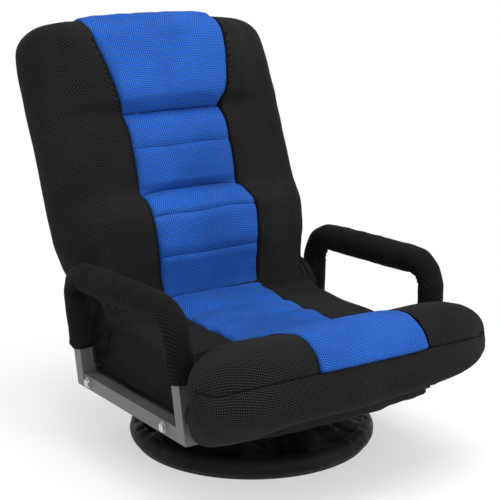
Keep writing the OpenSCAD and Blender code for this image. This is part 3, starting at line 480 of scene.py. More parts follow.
def rubber(name, base, rough=(0.6, 0.8), scale=420.0):
    """Moulded rubber or plastic with a fine grain."""
    s = Shader(name, Specular_IOR_Level=0.4)
    place = s.coord()
    grain = s.noise(place, scale)
    dust = s.noise(place, 20.0, 4.0, 0.6)
    colour = s.blend(s.range(dust, 0.4, 0.75), base, shade(base, 1.6))
    return s.finish(colour, s.range(dust, 0.3, 0.7, *rough), grain, 0.3, 0.0005)


def strap(name, base):
    """Woven webbing: ribs along the strap and picks across it."""
    s = Shader(name, Sheen_Weight=0.2, Specular_IOR_Level=0.35)
    place = s.coord()
    cloth = s.times(s.bands(place, 330.0, 0.6, "Z"), s.bands(place, 210.0, 0.4, "X"))
    uneven = s.noise(place, 30.0)
    dark = shade(base, 0.5)
    colour = s.blend(s.range(cloth, 0.1, 0.7), dark, base)
    colour = s.blend(s.times(s.range(uneven, 0.4, 0.7), 0.3), colour, dark)
    return s.finish(colour, s.range(uneven, 0.3, 0.7, 0.65, 0.85), cloth, 0.5, 0.0006)


def rgb(r, g, b):
    return (r, g, b, 1)


HOLE = rgb(0.0004, 0.0004, 0.0004)
THREAD = rgb(0.003, 0.003, 0.003)
# Colour of the plain underside cloth, also used as painted shade along the back's seams
UNDER_CLOTH_AND_SEAM_SHADE = rgb(0.007, 0.007, 0.0072)
BLUE_HOLE = rgb(0.007, 0.030, 0.150)
BLUE_THREAD = rgb(0.004, 0.030, 0.15)
BLUE_SHEEN = rgb(0.45, 0.65, 1)
BLUE_YARN = rgb(0.031, 0.151, 0.618)
BLACK_EDGE, BLUE_EDGE = (0.345, 0.46), (0.30, 0.44)

BLACK = air_mesh("black_mesh", rgb(0.030, 0.030, 0.0304), HOLE, THREAD, BLACK_EDGE)
SLEEVE = air_mesh("sleeve_mesh", rgb(0.018, 0.018, 0.0183), HOLE, THREAD, BLACK_EDGE)
BLUE = air_mesh("blue_mesh", BLUE_YARN, BLUE_HOLE, BLUE_THREAD, BLUE_EDGE, 0.02, BLUE_SHEEN)
NYLON = nylon("black_nylon", rgb(0.0098, 0.0098, 0.0101))
ARM = paint("arm_paint", rgb(0.118, 0.121, 0.120), rgb(0.24, 0.24, 0.24), metallic=0.25)
FRAME = paint("frame_paint", rgb(0.030, 0.030, 0.031), rgb(0.10, 0.10, 0.10))
BASE = paint("base_paint", rgb(0.022, 0.022, 0.023), rgb(0.09, 0.09, 0.09))
BRIGHT = metal("zinc", rgb(0.62, 0.62, 0.60))
RUBBER = rubber("band_rubber", rgb(0.012, 0.012, 0.012))
PLASTIC = rubber("plug_plastic", rgb(0.016, 0.016, 0.017), rough=(0.42, 0.6), scale=700.0)
STRAP = strap("webbing", rgb(0.045, 0.045, 0.043))

# What the CAD nodes are finished with, by how their names start: the longest fit counts
STARTS = (
    (BASE, "base_ring base_cross swivel_lower_plate swivel_upper_plate"),
    (FRAME, "seat_rail seat_cross hinge_ back_post back_rail"),
    (ARM, "arm_tube arm_rail"),
    (BRIGHT, "swivel_ arm_bolts arm_nuts hinge_pin hinge_rivets pawl_"),
    (STRAP, "cover_cord seat_webbing back_webbing"),
    (RUBBER, "base_band"),
    (PLASTIC, "arm_end_caps"),
)
FINISH = {start: mat for mat, starts in STARTS for start in starts.split()}
for name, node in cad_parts.items():
    best = max((start for start in FINISH if name.startswith(start)), key=len, default=None)
    if best:
        node.data.materials.clear()
        node.data.materials.append(FINISH[best])


# The back, in its own frame: x across, d from the hinge's plane to the rear, h from the hinge up the back

LEAN = math.radians(23.8)
LEAN_COS, LEAN_SIN = math.cos(LEAN), math.sin(LEAN)
PIVOT = np.array([161.0, 179.5])
BOLSTER_R = 61.7
ARCH_R = BOLSTER_R + 0.6  # of the back's lower end, which clears the bolster
BACK_TOP = 508.0
LOW_SEAM, HIGH_SEAM = 198.8, 333.0  # where the mid pad meets the lumbar pad and the pillow
PANEL_FLOOR = -45.6
PAD_GAP = 0.3  # between the side of a pad and what it lies beside
CHANNEL_FADE = 6


def on_back(x, d, h):
    y = PIVOT[0] + d * LEAN_COS + h * LEAN_SIN
    z = PIVOT[1] - d * LEAN_SIN + h * LEAN_COS
    return grid(x, y, z)


# Against the height above the shoulders: how much the corners take off the half width
corner_cut = curve([[-90, 0], [-80, 0.3], [-58, 2], [-43, 5], [-30, 12], [-20, 22], [-13, 34], [-8, 51],
                    [-4, 78], [-1, 118], [0, 150]])
# Against h: the half width, how far the seams stand out, the flat front and rear, and the blue panels'
# half width
half_flat = curve([[0, 210], [30, 211], [60, 215], [82, 221], [100, 227], [120, 232], [150, 236],
                   [262, 237], [372, 239], [600, 239]])
seam_out = curve([[0, 0], [22, 0], [54, 3], [82, 16.5], [116, 25.5], [149, 30], [179, 15], [199, -2],
                  [234, 5], [270, 8], [299, 9], [333, 0], [355, 17.6], [377, 22], [411, 22], [453, 16.5],
                  [490, 9], [520, 4], [600, 4]])
front_flat = curve([[0, -60], [24, -59], [80, -63], [149, -64], [199, -60], [333, -60], [400, -62],
                    [600, -60]])
rear_flat = curve([[0, 59], [430, 38], [600, 38]])
center_half = curve([[0, 90], [22, 92], [82, 96], [149, 100], [180, 96], [199, 95], [270, 95], [333, 95],
                     [360, 105], [400, 114], [470, 126], [600, 126]])
# Across a wing: what is left of the seam's height
wing_fall = curve([[0, 1], [0.2, 0.93], [0.45, 0.72], [0.75, 0.4], [1, 0.2]])


def back_half(h):
    return half_flat(h) - corner_cut(h - BACK_TOP)


def back_scale(h, cap=48):
    """The share of its thickness that the back has at h: all of it, up to the rounded top edge."""
    e = (h - BACK_TOP + cap) / cap
    return np.where(e > 0, np.sqrt(np.maximum(0.01, 1 - np.clip(e, 0, 1) ** 2.2)), 1.0)


def back_mid(h):
    return (front_flat(h) + rear_flat(h)) / 2


def back_front(h):
    return mix(back_mid(h), front_flat(h), back_scale(h))


def back_rear(h):
    return mix(back_mid(h), rear_flat(h), back_scale(h))


def panel_floor(h):
    return np.maximum(PANEL_FLOOR, back_front(h) + 0.5)


def gap_line(h):
    """Where the seam lies beside the blue panels: how far in front of the flat front."""
    return seam_out(h) * back_scale(h)


def back_column(kind, t, h):
    """Place t, 0 to 1, on one stretch of the half section at h: x and d."""
    half, front, rear, mid = back_half(h), back_front(h), back_rear(h), back_mid(h)
    seam = np.minimum(center_half(h), half - 34)
    shoulder = np.maximum(seam + 10, half - 50)
    out = gap_line(h)
    roundness = 2 / 2.3
    if kind == "floor":
        return t * seam, panel_floor(h)
    if kind == "wall":
        return seam + 0.4 * t, mix(panel_floor(h), front - out + 4.5, t)
    if kind == "front":
        x = mix(seam + 0.4, shoulder, t)
        puff = 4.5 * np.sin(math.pi * t) ** 0.8 * back_scale(h) * ease((h - 20) / 30)
        return x, front - out * wing_fall(t) - puff + groove(x - seam, 4.2, 8)
    if kind == "rear":
        return shoulder * (1 - t), rear + 2.0 * np.sin(math.pi * t)
    k, face = (t, front - out * 0.2) if kind == "side" else (1 - t, rear)
    side = np.sin(k * QUARTER) ** roundness
    return mix(shoulder, half, side), mix(mid, face, np.cos(k * QUARTER) ** roundness)


def make_back():
    stretches = (("floor", (0, 0.5, 0.97)), ("wall", (0.1, 0.6, 1)), ("front", np.linspace(0, 1, 26)),
                 ("side", np.linspace(0.06, 0.99, 13)), ("turn", np.linspace(0.01, 1, 13)),
                 ("rear", np.linspace(0.08, 1, 9)))
    columns = [(kind, t) for kind, places in stretches for t in places]
    kinds = [kind for kind, t in columns]
    # The rows crowd together towards the rounded top, over the last share of the height
    last = 0.14
    low_rows, top_rows = np.linspace(0, 1 - last, 104, endpoint=False), np.linspace(0, 1, 34)
    rise = np.concatenate([low_rows, 1 - last * (1 - top_rows) ** 1.7])
    half_grid = []
    for kind, t in columns:
        d_low = float(back_column(kind, t, np.array([40.0]))[1][0])
        h = mix(math.sqrt(max(0.0, ARCH_R**2 - d_low**2)), BACK_TOP, rise)
        half_grid.append(np.broadcast_arrays(*back_column(kind, t, h), h))
    X, D, H = np.moveaxis(np.array(half_grid), 0, -1)
    X, D, H = both(X, -1), both(D), both(H)
    # The underside is an arch round the bolster: the lowest row drawn in to the middle
    k = np.linspace(0.06, 1, 16, endpoint=False)[:, None]
    D_arch = D[0] * k
    X = np.vstack([X[0] * k, X])
    H = np.vstack([np.sqrt(np.maximum(0, ARCH_R**2 - D_arch**2)), H])
    D = np.vstack([D_arch, D])
    P = on_back(X, D, H)
    N = outward(P, on_back(X, D - 1, H) - P)
    soft = both(np.array([kind not in ("floor", "wall") for kind in kinds]) * 1.0)
    live = ease((H - 66) / 40) * ease((BACK_TOP - 4 - H) / 50) * soft
    seam = np.abs(X) - center_half(H)
    front = (D < back_mid(H)) * 1.0
    # Small pulls along the seams, longer soft folds down the wings, and a few near the lower end
    move = 0.12 * near(seam, 10) * wave(H, 19, 4) * front * (seam > 1.5)
    move += 0.7 * ripple(P, 190, 5) + 0.25 * ripple(P, 60, 6)
    move += 0.7 * ripple(P, 40, 8, (1, 1, 1.9)) * near(H - 84, 22)
    P = P + N * (move * live)[..., None]
    # The stuffing stands higher in the sitter's right shoulder, and is drawn in at the left one
    side = P[..., 0] / 239
    left, right = np.clip(side, 0, 1), np.clip(-side, 0, 1)
    P[..., 2] += (7.0 * right**1.5 - 2.5 * left) * ease((H - 400) / 80)
    P[..., 0] -= 3.5 * left**3 * ease((H - 330) / 60)
    ref = both_refs(P.shape[1], kinds.index("turn"))
    # Painted shade along the seams: where the cloth is drawn in, it is coloured dark and lies flat, without
    # holes
    plain = 0.66 * ease((10 - seam) / 6) * front
    add("back_shell", P, BLACK, "back", "back_cushion", ref=ref, row=60, fill=0.8, plain=plain)


# The blue pads of the back


def pad_grid(h0, h1, rows, crown, seed, ribs=(), ends=(), droop=(0, 0)):
    """A padded panel: crowned across, and drawn down at its edges, its ends and its sewn channels.

    crown is its height against h. ribs and ends are (place, depth, width) of the channels and sewn ends,
    and droop is how far the corners hang at the low and the high end. Gives the points, how far each is
    from a channel, and how far along it.
    """
    h = mix(h0, h1, np.linspace(0, 1, rows))[:, None]
    U = np.broadcast_to(ABOVE, (rows, len(ABOVE)))
    H = h - mix(*droop, (h - h0) / (h1 - h0)) * np.abs(U) ** 3.5
    half = center_half(H) - PAD_GAP
    X = U * half
    edge = (1 - np.abs(U)) * half
    fade = dome(U, CHANNEL_FADE)
    D = back_front(H) - gap_line(H) - 0.8 - crown(H) * dome(U, 2.6) + groove(edge, 4.6, 8)
    line = np.full(H.shape, FAR)
    for place, depth, wide in ribs:
        e = H - (place + 1.2 * wave(X, 160, seed + place))
        D = D + depth * (0.55 * near(e, wide * 0.45) + 0.45 * bell(e, wide)) * fade
        pulls = wave(X + 3 * np.sign(e), 17, seed + place + 1) * (np.abs(e) > 0.8)
        D = D + 0.4 * near(np.abs(e) - 3.5, 7) * pulls * fade
        line = np.where(np.abs(e) < np.abs(line), e, line)
    for place, depth, wide in ends:
        e = np.abs(h - place)
        D = D + groove(e, depth, wide)
        D = D + 0.5 * near(e - 4, 8) * wave(X, 19, int(seed + place)) * fade * ease(e / 5)
    D = D + 0.1 * near(edge - 2, 9) * wave(H, 16, seed + 5) * ease(edge / 3)
    smooth = on_back(X, D, H)
    lumps = 0.8 * ripple(smooth, 85, seed) + 0.25 * ripple(smooth, 26, seed + 2)
    D = np.minimum(D + lumps * dome(U, 4), panel_floor(H) - 1)
    low = on_back(half[:, :1] * BELOW, panel_floor(H[:, UNDER]) - 0.02, H[:, UNDER])
    P = np.concatenate([on_back(X, D, H), low], 1)
    line = np.concatenate([line, np.full((rows, len(BELOW)), FAR)], 1)
    run = np.concatenate([X, np.zeros((rows, len(BELOW)))], 1)
    return P, line, run


def add_pad(name, node, row, P, line, run):
    add(name, P, BLUE, "back", node, slot="blue_mesh", ref=len(ABOVE) // 2, row=row, fill=0.7,
        thread=(line, run))


def make_lumbar():
    def crown(h):
        return 10 * window(h, 16, 44, 180, 18)

    low, high = 17.5, LOW_SEAM - 0.2
    ribs, ends = [(82, 5.5, 8), (149, 5.5, 8)], [(high + 0.1, 5, 8), (low - 0.5, 3, 10)]
    add_pad("lumbar_pad", "lumbar_panel", 48, *pad_grid(low, high, 96, crown, 21, ribs, ends, (0, 7)))


def make_mid():
    def crown(h):
        return 9 * window(h, 197, 14, 318, 15)

    low, high = LOW_SEAM + 0.2, HIGH_SEAM - 0.3
    ribs, ends = [(270, 4.5, 8)], [(low, 5, 8), (high + 0.1, 5, 8)]
    add_pad("mid_pad", "mid_panel", 36, *pad_grid(low, high, 72, crown, 41, ribs, ends, (7, 0)))


def make_head():
    """The pillow: a pad that is carried on over the top edge of the back and down behind it."""
    low, last_h, rows = HIGH_SEAM + 0.3, 480.0, 26

    def crown(h):
        return 10 * ease((h - 328) / 28) * (1 - 0.2 * ease((h - 440) / 60))

    P, line, run = pad_grid(low, last_h, 70, crown, 61, ends=[(low - 0.1, 9, 11)])
    # The section of its outside and of its underside from there on, as d and h
    last_d = float(back_front(last_h) - gap_line(last_h) - 0.8)
    over = [[last_d - 8.0, last_h], [-59, 496], [-49, 508], [-32, 516.5], [-12, 520], [10, 517],
            [23, 508]]
    under = [[float(panel_floor(last_h)), last_h], [PANEL_FLOOR, 492.3], [20, 492.3], [24.7, 494],
             [24.7, 497], [24.7, 500], [24.7, 505]]
    over, under = (spline(points, rows + 1)[0][1:] for points in (over, under))
    d, h = over[:, :1], over[:, 1:]
    into = unit(under - over)
    width = (center_half(500.0) - PAD_GAP) * (1 - 0.0011 * np.maximum(0.0, d + 52))
    wobble = 0.6 * wave(ABOVE * 100 + np.arange(1, rows + 1)[:, None], 30, 77) * dome(ABOVE, 5)
    sag = 7.0 * (1 - dome(ABOVE, 2.6)) + wobble
    top = on_back(ABOVE * width, d + into[:, :1] * sag, h + into[:, 1:] * sag)
    more = np.concatenate([top, on_back(BELOW * width, under[:, :1], under[:, 1:])], 1)
    far = np.full(more.shape[:2], FAR)
    parts = np.concatenate([P, more]), np.concatenate([line, far]), np.concatenate([run, far * 0])
    add_pad("head_pillow", "head_cushion", 35, *parts)


def make_rear_panel():
    half, low_h, high_h, rows = 196.0, 24.0, 465.0, 80
    us = crowded(45, 0.98)
    H = np.broadcast_to(mix(low_h, high_h, np.linspace(0, 1, rows))[:, None], (rows, len(us)))
    U = np.broadcast_to(us, H.shape)
    edge = np.minimum((1 - np.abs(U)) * half, np.minimum(np.abs(high_h + 0.3 - H), 200))
    crown = 5.5 * dome(U, 2.4) * np.sin(math.pi * np.clip((H + 60) / 538, 0, 1))
    D = back_rear(H) + (1.5 + crown) - groove(edge, 5.0, 9)
    D = D + 0.5 * near(edge - 3, 10) * wave(U * 190 + H, 19, 91) * ease(edge / 4)
    D = D + 1.0 * ripple(on_back(U * half, D, H), 150, 92) * dome(U, 4)
    low = on_back(BELOW * half, back_rear(H[:, UNDER]) - 7, H[:, UNDER])
    P = np.concatenate([on_back(U * half, D, H), low], 1)
    # Clear of the bolster at its lower end
    rel = P[..., 1:] - PIVOT
    dist = np.linalg.norm(rel, axis=2)
    P[..., 1:] = PIVOT + rel * (np.maximum(dist, ARCH_R) / dist)[..., None]
    add("rear_pad", P, BLACK, "back", "back_rear_panel", ref=len(us) // 2, row=rows // 2, fill=0.6)


# Seat

FRAME_TOP = 113.6  # what the foam and the roll lie on
ROLL_REAR = -105.0  # the roll's flat rear, which the seat meets
SEAT_TOP = 203.0
SEAT_FRONT = ROLL_REAR + PAD_GAP
PAN_HALF = 207.0
SEAM_X = 96.0  # of the seams beside the blue panel
PANEL_HALF = SEAM_X - PAD_GAP
BED = SEAT_TOP - 16  # what the blue panel lies on
# Against y: how much higher the seat is than its middle
pan_rise = curve([[-105, -3], [-60, 2], [0, 1], [60, 5], [98, 9], [108, 12], [118, 13], [140, 13]])


def pan_top(x, y):
    return SEAT_TOP + pan_rise(y) - 8 * (np.abs(x) / PAN_HALF) ** 2


def clear_back(P):
    """Presses points out of the bolster's space, and out of the back's space just past its forward limit."""
    lean, front, gap = LEAN - math.radians(4), -61.4, 0.1
    c, s = math.cos(lean), math.sin(lean)
    rel = P[..., 1:] - PIVOT
    d = rel[..., 0] * c - rel[..., 1] * s
    h = rel[..., 0] * s + rel[..., 1] * c
    over = np.where(h > 0, np.maximum(0, d - front), 0)
    rel = rel - over[..., None] * np.array([c, -s])
    dist = np.linalg.norm(rel, axis=-1)
    rel = rel * (np.maximum(dist, BOLSTER_R + gap) / np.maximum(dist, 1e-6))[..., None]
    return np.concatenate([P[..., :1], PIVOT + rel], -1)


def crease_fan(y, z):
    """Creases that fan out from the rear lower corner, where the cover is pulled round the hinge."""
    corner_y, corner_z = 176, 128
    angle = np.arctan2(z - corner_z, corner_y - y)
    far = np.hypot(z - corner_z, corner_y - y)
    lines = signed_power(np.sin(angle * 17 + 0.6 * wave(far, 60, 103)), 0.8)
    return 1.7 * lines * window(far, 18, 25, 90, 60)


def seat_section(y):
    """Half of the seat's section at y, from the middle of its underside round to the panel's bed."""
    low = [(0.0, FRAME_TOP), (90.0, FRAME_TOP), (PAN_HALF - 10, FRAME_TOP), (PAN_HALF + 2, FRAME_TOP + 0.3)]
    # The side is drawn in at its lower seam and swells above it
    tall = pan_top(PAN_HALF - 16, y) - FRAME_TOP
    k = np.linspace(0.04, 0.97, 26)
    seam = 2.4 * near(k - (0.26 + 0.0006 * y), 0.03) * ease((130 - y) / 60)
    side = np.stack([PAN_HALF + 4.6 - 9.5 * k**1.3 - seam, FRAME_TOP + 1 + (tall - 9) * k], 1)
    a = np.linspace(0.15, 1, 9) * QUARTER
    x_in = PAN_HALF - 30.0
    rounding = np.stack([mix(side[-1, 0], x_in, 1 - np.cos(a)),
                         mix(side[-1, 1], pan_top(x_in, y), np.sin(a))], 1)
    xs = np.concatenate([np.linspace(PAN_HALF - 36, 106, 16), [102.5, 100, 98.5, 97.2, 96.4]])
    top = np.stack([xs, pan_top(xs, y) - groove(xs - SEAM_X, 3.6, 8)], 1)
    bed = [(SEAM_X, BED + 2), (60.0, BED), (0.0, BED)]
    return np.vstack([low, side, rounding, top, bed])


def make_seat():
    ys = np.concatenate([np.linspace(SEAT_FRONT, 96, 84), np.linspace(98, 130, 18)])
    half = np.array([seat_section(y) for y in ys])
    P = grid(both(half[..., 0], -1), ys[:, None], both(half[..., 1]))
    N = outward(P, P - np.array([0, 0, 160.0]))
    x, Y, z = np.abs(P[..., 0]), P[..., 1], P[..., 2]
    live = ((z > FRAME_TOP + 3) & (x > 97)) * ease((Y - SEAT_FRONT) / 6)
    move = 1.3 * ripple(P, 120, 101) + 0.55 * ripple(P, 42, 102, (1, 0.5, 1))
    move += crease_fan(Y, z) * (x > 190)
    move += 0.6 * near(x - SEAM_X - 3, 8) * wave(Y, 15, 104) * (x < 125) * (x > 97.5)
    P = clear_back(P + N * (move * live)[..., None])
    top_column = 37
    ref = both_refs(P.shape[1], top_column)
    add("seat_shell", P, BLACK, "seat", "seat_cushion", ref=ref, row=40, fill=0.75)


def make_seat_panel():
    channels = [-68, -17, 44]
    ys = np.concatenate([np.linspace(SEAT_FRONT, 96, 112), np.linspace(97.5, 116, 12)])
    Y = np.broadcast_to(ys[:, None], (len(ys), len(ABOVE)))
    U = np.broadcast_to(ABOVE, Y.shape)
    X = U * PANEL_HALF
    edge = (1 - np.abs(U)) * PANEL_HALF
    crown = 7 - 3 * ease((Y - 98) / 12)
    Z = pan_top(SEAM_X, Y) + 1.5 + crown * dome(U, 2.8) - groove(edge, 4.6, 8)
    fade = dome(U, 5)
    for k, place in enumerate(channels):
        e = Y - place - 2.0 * wave(X, 190, 120 + k) + 3 * U**2
        Z = Z - (0.6 * near(e, 3.5) + 4.4 * bell(e, 13)) * fade
        Z = Z + 0.3 * near(np.abs(e) - 5, 9) * wave(X, 19, 130 + k) * (np.abs(e) > 0.8) * fade
    Z = Z - groove(Y - SEAT_FRONT, 4.5, 8)
    Z = Z + 0.5 * near(edge - 4, 12) * wave(Y, 34, 141) * ease(edge / 4)
    plan = grid(X, Y, 0)
    Z = Z + (0.9 * ripple(plan, 90, 142) + 0.3 * ripple(plan, 28, 143)) * dome(U, 4)
    low = grid(BELOW * PANEL_HALF, Y[:, UNDER], BED)
    P = clear_back(np.concatenate([grid(X, Y, Z), low], 1))
    add("seat_pad", P, BLUE, "seat", "seat_center_panel", slot="blue_mesh", ref=len(ABOVE) // 2, row=60,
        fill=0.7)


# Front roll

# Its section, y and z, from the rear foot over the top and round the front to the underside
ROLL = [[ROLL_REAR, FRAME_TOP], [ROLL_REAR, 150], [ROLL_REAR, 184], [-109, 197], [-135, 211],
        [-168, 227], [-204, 243], [-240, 253], [-268, 257], [-292, 250], [-311, 236], [-323, 216],
        [-334, 199], [-340, 180], [-337, 162], [-326, 148], [-306, 137], [-276, 123], [-242, 108],
        [-208, 94], [-208, FRAME_TOP], [-160, FRAME_TOP]]
ROLL_MID = np.array([-252.0, 184.0])
ROLL_HALF = 270.0
FOOT_HALF = 204.0
END_REAR = -192.0
EDGE = 99.0
# Places on the section are counted in its points, from 0: the start of the blue panel, the pinched seam
# where it ends, and the foot, which stays plain
PANEL_START, PINCH, FOOT_START = 3, 11, 19.2
# Against x: how far the underside is lifted. Against |x|: how far the pinched seam is moved up
under_lift = curve([[-270, -3], [-190, -1], [-110, 4], [0, 7], [90, 11], [180, 13], [270, 11]])
seam_lift = curve([[0, 0], [99, 0], [150, -2.4], [200, -6.6], [240, -9], [254, -4], [262, 5], [270, 12]])


def roll_points(p, x):
    """Section points p (cols, 2) carried out to the places x (rows,), which taper to the tips."""
    a = np.abs(x)[:, None]
    right_hand = (x < 0)[:, None]
    py, pz = p[None, :, 0], p[None, :, 1]
    ahead = py < ROLL_MID[0]
    under = ease((ROLL_MID[1] - pz) / 60)
    by_frame = ease((py + 300) / 80)
    # Where the taper sets in, and how blunt it is: the stuffing hangs lower at the sitter's right end
    low_start = np.where(right_hand, mix(165, 188, by_frame), mix(76, 104, by_frame))
    start = mix(162.0, low_start, under)
    blunt = mix(2.15, np.where(right_hand, 2.3, 1.6), under)
    foot = (py > -205) & (a <= FOOT_HALF) & (pz < ROLL_MID[1])
    e = np.where(foot, 0, np.clip((a - start) / (ROLL_HALF - start), 0, 1))
    k = np.maximum(0.063, np.sqrt(np.maximum(0, 1 - e**blunt)))
    # The front bows back towards the tips, and the rear stays clear of the arms
    y0 = py + 21 * (a / 200) ** 3 * ease((ROLL_MID[0] - py) / 88)
    y1 = np.where(a > FOOT_HALF, np.minimum(y0, END_REAR), y0)
    ky = np.where(ahead, k, k ** mix(1.0, 0.75, under))
    y = np.where(ahead | (a > FOOT_HALF), mix(ROLL_MID[0], y1, ky), y1)
    z = mix(ROLL_MID[1], pz, k) + seam_lift(a) * bell(pz - 214, 34) * ahead
    z = z + under_lift(x)[:, None] * ease((182 - z) / 42) * (py < -207)
    return grid(x[:, None], y, z)


def dense_roll():
    """The section, finer, and its places: the foot keeps its corners, the rest is one smooth line."""
    fine, place = spline(ROLL[1:20], 1600)
    s = run_length(fine)
    seam = float(np.interp(PINCH - 1, place, s))
    steps = np.array([0.7, 1.4, 2.2, 3.2, 4.4, 6, 8])
    even = np.linspace(0, s[-1], 104)
    at = np.sort(np.concatenate([even[np.abs(even - seam) > 9], seam - steps, [seam], seam + steps]))
    smooth = np.stack([np.interp(at, s, v) for v in fine.T], 1)
    points = np.vstack([ROLL[0], smooth, [-208, 104], ROLL[20], ROLL[21], [-130, FRAME_TOP]])
    return points, np.concatenate([[0], np.interp(at, s, place) + 1, [19.5, 20, 21, 21.5]])


ROLL_POINTS, ROLL_TAGS = dense_roll()


def make_roll():
    pts, tag = ROLL_POINTS, ROLL_TAGS
    # The bed of the blue panel is sunk into the middle
    deep = 10.0
    sink = np.where((tag >= 1.6) & (tag <= PINCH + 0.02), deep, 0.0)[:, None]
    sunk = pts + unit(ROLL_MID - pts) * sink
    sunk = np.where(tag[:, None] <= PANEL_START + 0.05, np.minimum(pts, [FAR, BED]), sunk)
    tips = FOOT_HALF + 1 + (ROLL_HALF - FOOT_HALF - 1) * np.sin(np.linspace(0, 1, 44) * QUARTER)
    beside = EDGE + 0.4 + np.array([0, 0.8, 2, 4, 7, 11])
    out = np.concatenate([beside, np.linspace(EDGE + 17, FOOT_HALF, 32), tips])
    inn = np.array([30, 60, 90, EDGE])
    xs = np.concatenate([-out[::-1], -inn[::-1], [0], inn, out])
    P = roll_points(pts, xs)
    bed = np.abs(xs) <= EDGE
    P[bed] = roll_points(sunk, xs[bed])
    N = outward(P, P - grid(xs, *ROLL_MID)[:, None])
    a = np.abs(xs)[:, None]
    # The pinched seam, deeper towards the tips, with pulls on both sides
    s = run_length(pts)
    ds = (s - np.interp(PINCH, tag, s))[None, :]
    tip = ease((a - 170) / 95)
    k = (1 - 0.9 * ease((a - 262) / 8)) * np.where((a > EDGE) | (ds > 0), 1.0, 0.0)
    move = -(1.6 * bell(ds, 1.5) + (1.0 + 1.6 * tip) * near(ds, 6)) * k
    pulls = wave(xs[:, None] + 5 * np.sign(ds), 17, 203) * (np.abs(ds) > 1)
    move = move + (0.25 + 0.3 * tip) * near(np.abs(ds) - 6, 14) * pulls * k
    # The seams beside the blue panel
    e = np.maximum(a - EDGE, 0)
    panel_side = ((tag > PANEL_START - 0.5) & (tag < PINCH + 0.1))[None, :]
    move = move - groove(e, 3.6, 8) * panel_side
    move = move + 0.25 * near(e - 4, 9) * wave(ds, 17, 205) * (e > 1.5) * panel_side
    # Gathers round the tips, and lumps
    theta = np.arctan2(P[..., 2] - ROLL_MID[1], P[..., 1] - ROLL_MID[0])
    tip = window(a, 205, 60, 266, 4)
    move = move + 0.45 * tip * np.sin(theta * 17 + 1.5 * wave(theta, 1.1, 206))
    move = move + 1.2 * ripple(P, 140, 207) + 0.3 * ripple(P, 45, 208)
    uncovered = (a > EDGE) | (tag > PINCH + 0.1)[None, :]
    live = uncovered * 1.0 * ((tag > PANEL_START - 0.8) & (tag < FOOT_START))[None, :]
    P = P + N * (move * live)[..., None]
    lowest = 91.0
    P[..., 2] = np.maximum(P[..., 2], lowest)
    line = np.where((a > EDGE - 2) & (np.abs(ds) < 60), ds, FAR)
    # The lowest strip is the plain cloth of the underside, which shows at the sitter's left
    hem = mix(19.6, 15.3, ease((xs + 20) / 70))[:, None]
    plain = ease((tag[None, :] - hem) / 0.25)
    top = int(np.argmin(np.abs(tag - 8)))
    add("roll_shell", P, BLACK, "seat", "front_roll", ref=top, row=20, fill=0.85,
        thread=(line, np.ones_like(line)), plain=plain)


def make_roll_panel():
    half, deep = EDGE - PAD_GAP, 10.0
    p, _ = spline(ROLL_POINTS[(ROLL_TAGS >= PANEL_START) & (ROLL_TAGS <= PINCH + 0.05)], 84)
    out = unit(p - ROLL_MID)
    s = run_length(p)
    to_low = s[-1] - s
    inner = (p - out * deep)[[-1, 63, 42, 21, 0]]
    rows = []
    for u in ABOVE:
        x = u * half
        edge = (1 - abs(u)) * half
        place = grid(x, *p.T)
        lump = 0.9 * ripple(place, 100, 221) + 0.3 * ripple(place, 30, 222)
        lump = lump + 0.3 * near(to_low - 4, 9) * wave(x, 17, 223)
        lump = lump + 0.25 * near(edge - 4, 9) * wave(s, 17, 224)
        lift = 3.4 * dome(u, 2.8) - groove(edge, 4.4, 8) - groove(s, 5.0, 8) - groove(to_low, 5.0, 8)
        crowned = p + out * (lift + lump * dome(u, CHANNEL_FADE))[:, None]
        rows.append(roll_points(np.vstack([crowned, inner]), np.array([x]))[0])
    P = np.array(rows)
    add("roll_panel", P, BLUE, "seat", "front_panel", slot="blue_mesh", ref=40, row=len(ABOVE) // 2,
        fill=0.8)


# Bolster round the hinge

BOLSTER_HALF, CHEEK_IN, CHEEK_OUT = 186.2, 198.0, 209.0


def lathe(profile):
    """Rings round the hinge's axis at each (x, radius), with small gathers near the rim of the ends."""
    th = np.linspace(0, TAU, 120, endpoint=False)
    rows = []
    for x, r in profile:
        on_end = 3 < r < BOLSTER_R - 0.2
        gather = 0.6 * near(BOLSTER_R - r, 12) * wave(th * 60, 14, 301) * on_end
        rows.append(grid(x + gather * np.sign(x), PIVOT[0] + r * np.cos(th), PIVOT[1] + r * np.sin(th)))
    return np.array(rows)


def drum(x0, x1, puff0, puff1, c=5.0):
    """A padded drum from x0 to x1: its edges rounded by c, its ends crowned by puff0 and puff1."""
    radii = np.linspace(1, BOLSTER_R - 6, 12)
    turn = np.linspace(0.1, 1, 6) * QUARTER

    def end(x, way, puff):
        """One end, from its middle to its rim."""
        face = [(x + way * (2.0 - puff * (1 - (r / BOLSTER_R) ** 2)), r) for r in radii]
        return face + [(x + way * c * (1 - math.cos(t)), BOLSTER_R - c + c * math.sin(t)) for t in turn]

    rim = [(x, BOLSTER_R) for x in np.linspace(x0 + c, x1 - c, 24)[1:-1]]
    return lathe(end(x0, 1, puff0) + rim + end(x1, -1, puff1)[::-1])


def make_bolster():
    middle = drum(-BOLSTER_HALF, BOLSTER_HALF, -2.0, -2.0)
    add("bolster", middle, BLACK, "seat", "hinge_bolster", fill=0.9)
    left = drum(CHEEK_IN, CHEEK_OUT, -2.0, 2.0, 2.0)
    right = drum(-CHEEK_OUT, -CHEEK_IN, 2.0, -2.0, 2.0)
    for name, P in (("bolster_cheek_left", left), ("bolster_cheek_right", right)):
        r = np.hypot(P[..., 1] - PIVOT[0], P[..., 2] - PIVOT[1])
        outer = np.abs(P[..., 0]) > CHEEK_OUT - 3
        creases = crease_fan(P[..., 1], P[..., 2]) * outer * (1 - ease((r - 52) / 8))
        P[..., 0] += np.sign(P[..., 0]) * creases
        add(name, P, BLACK, "seat", fill=0.8)


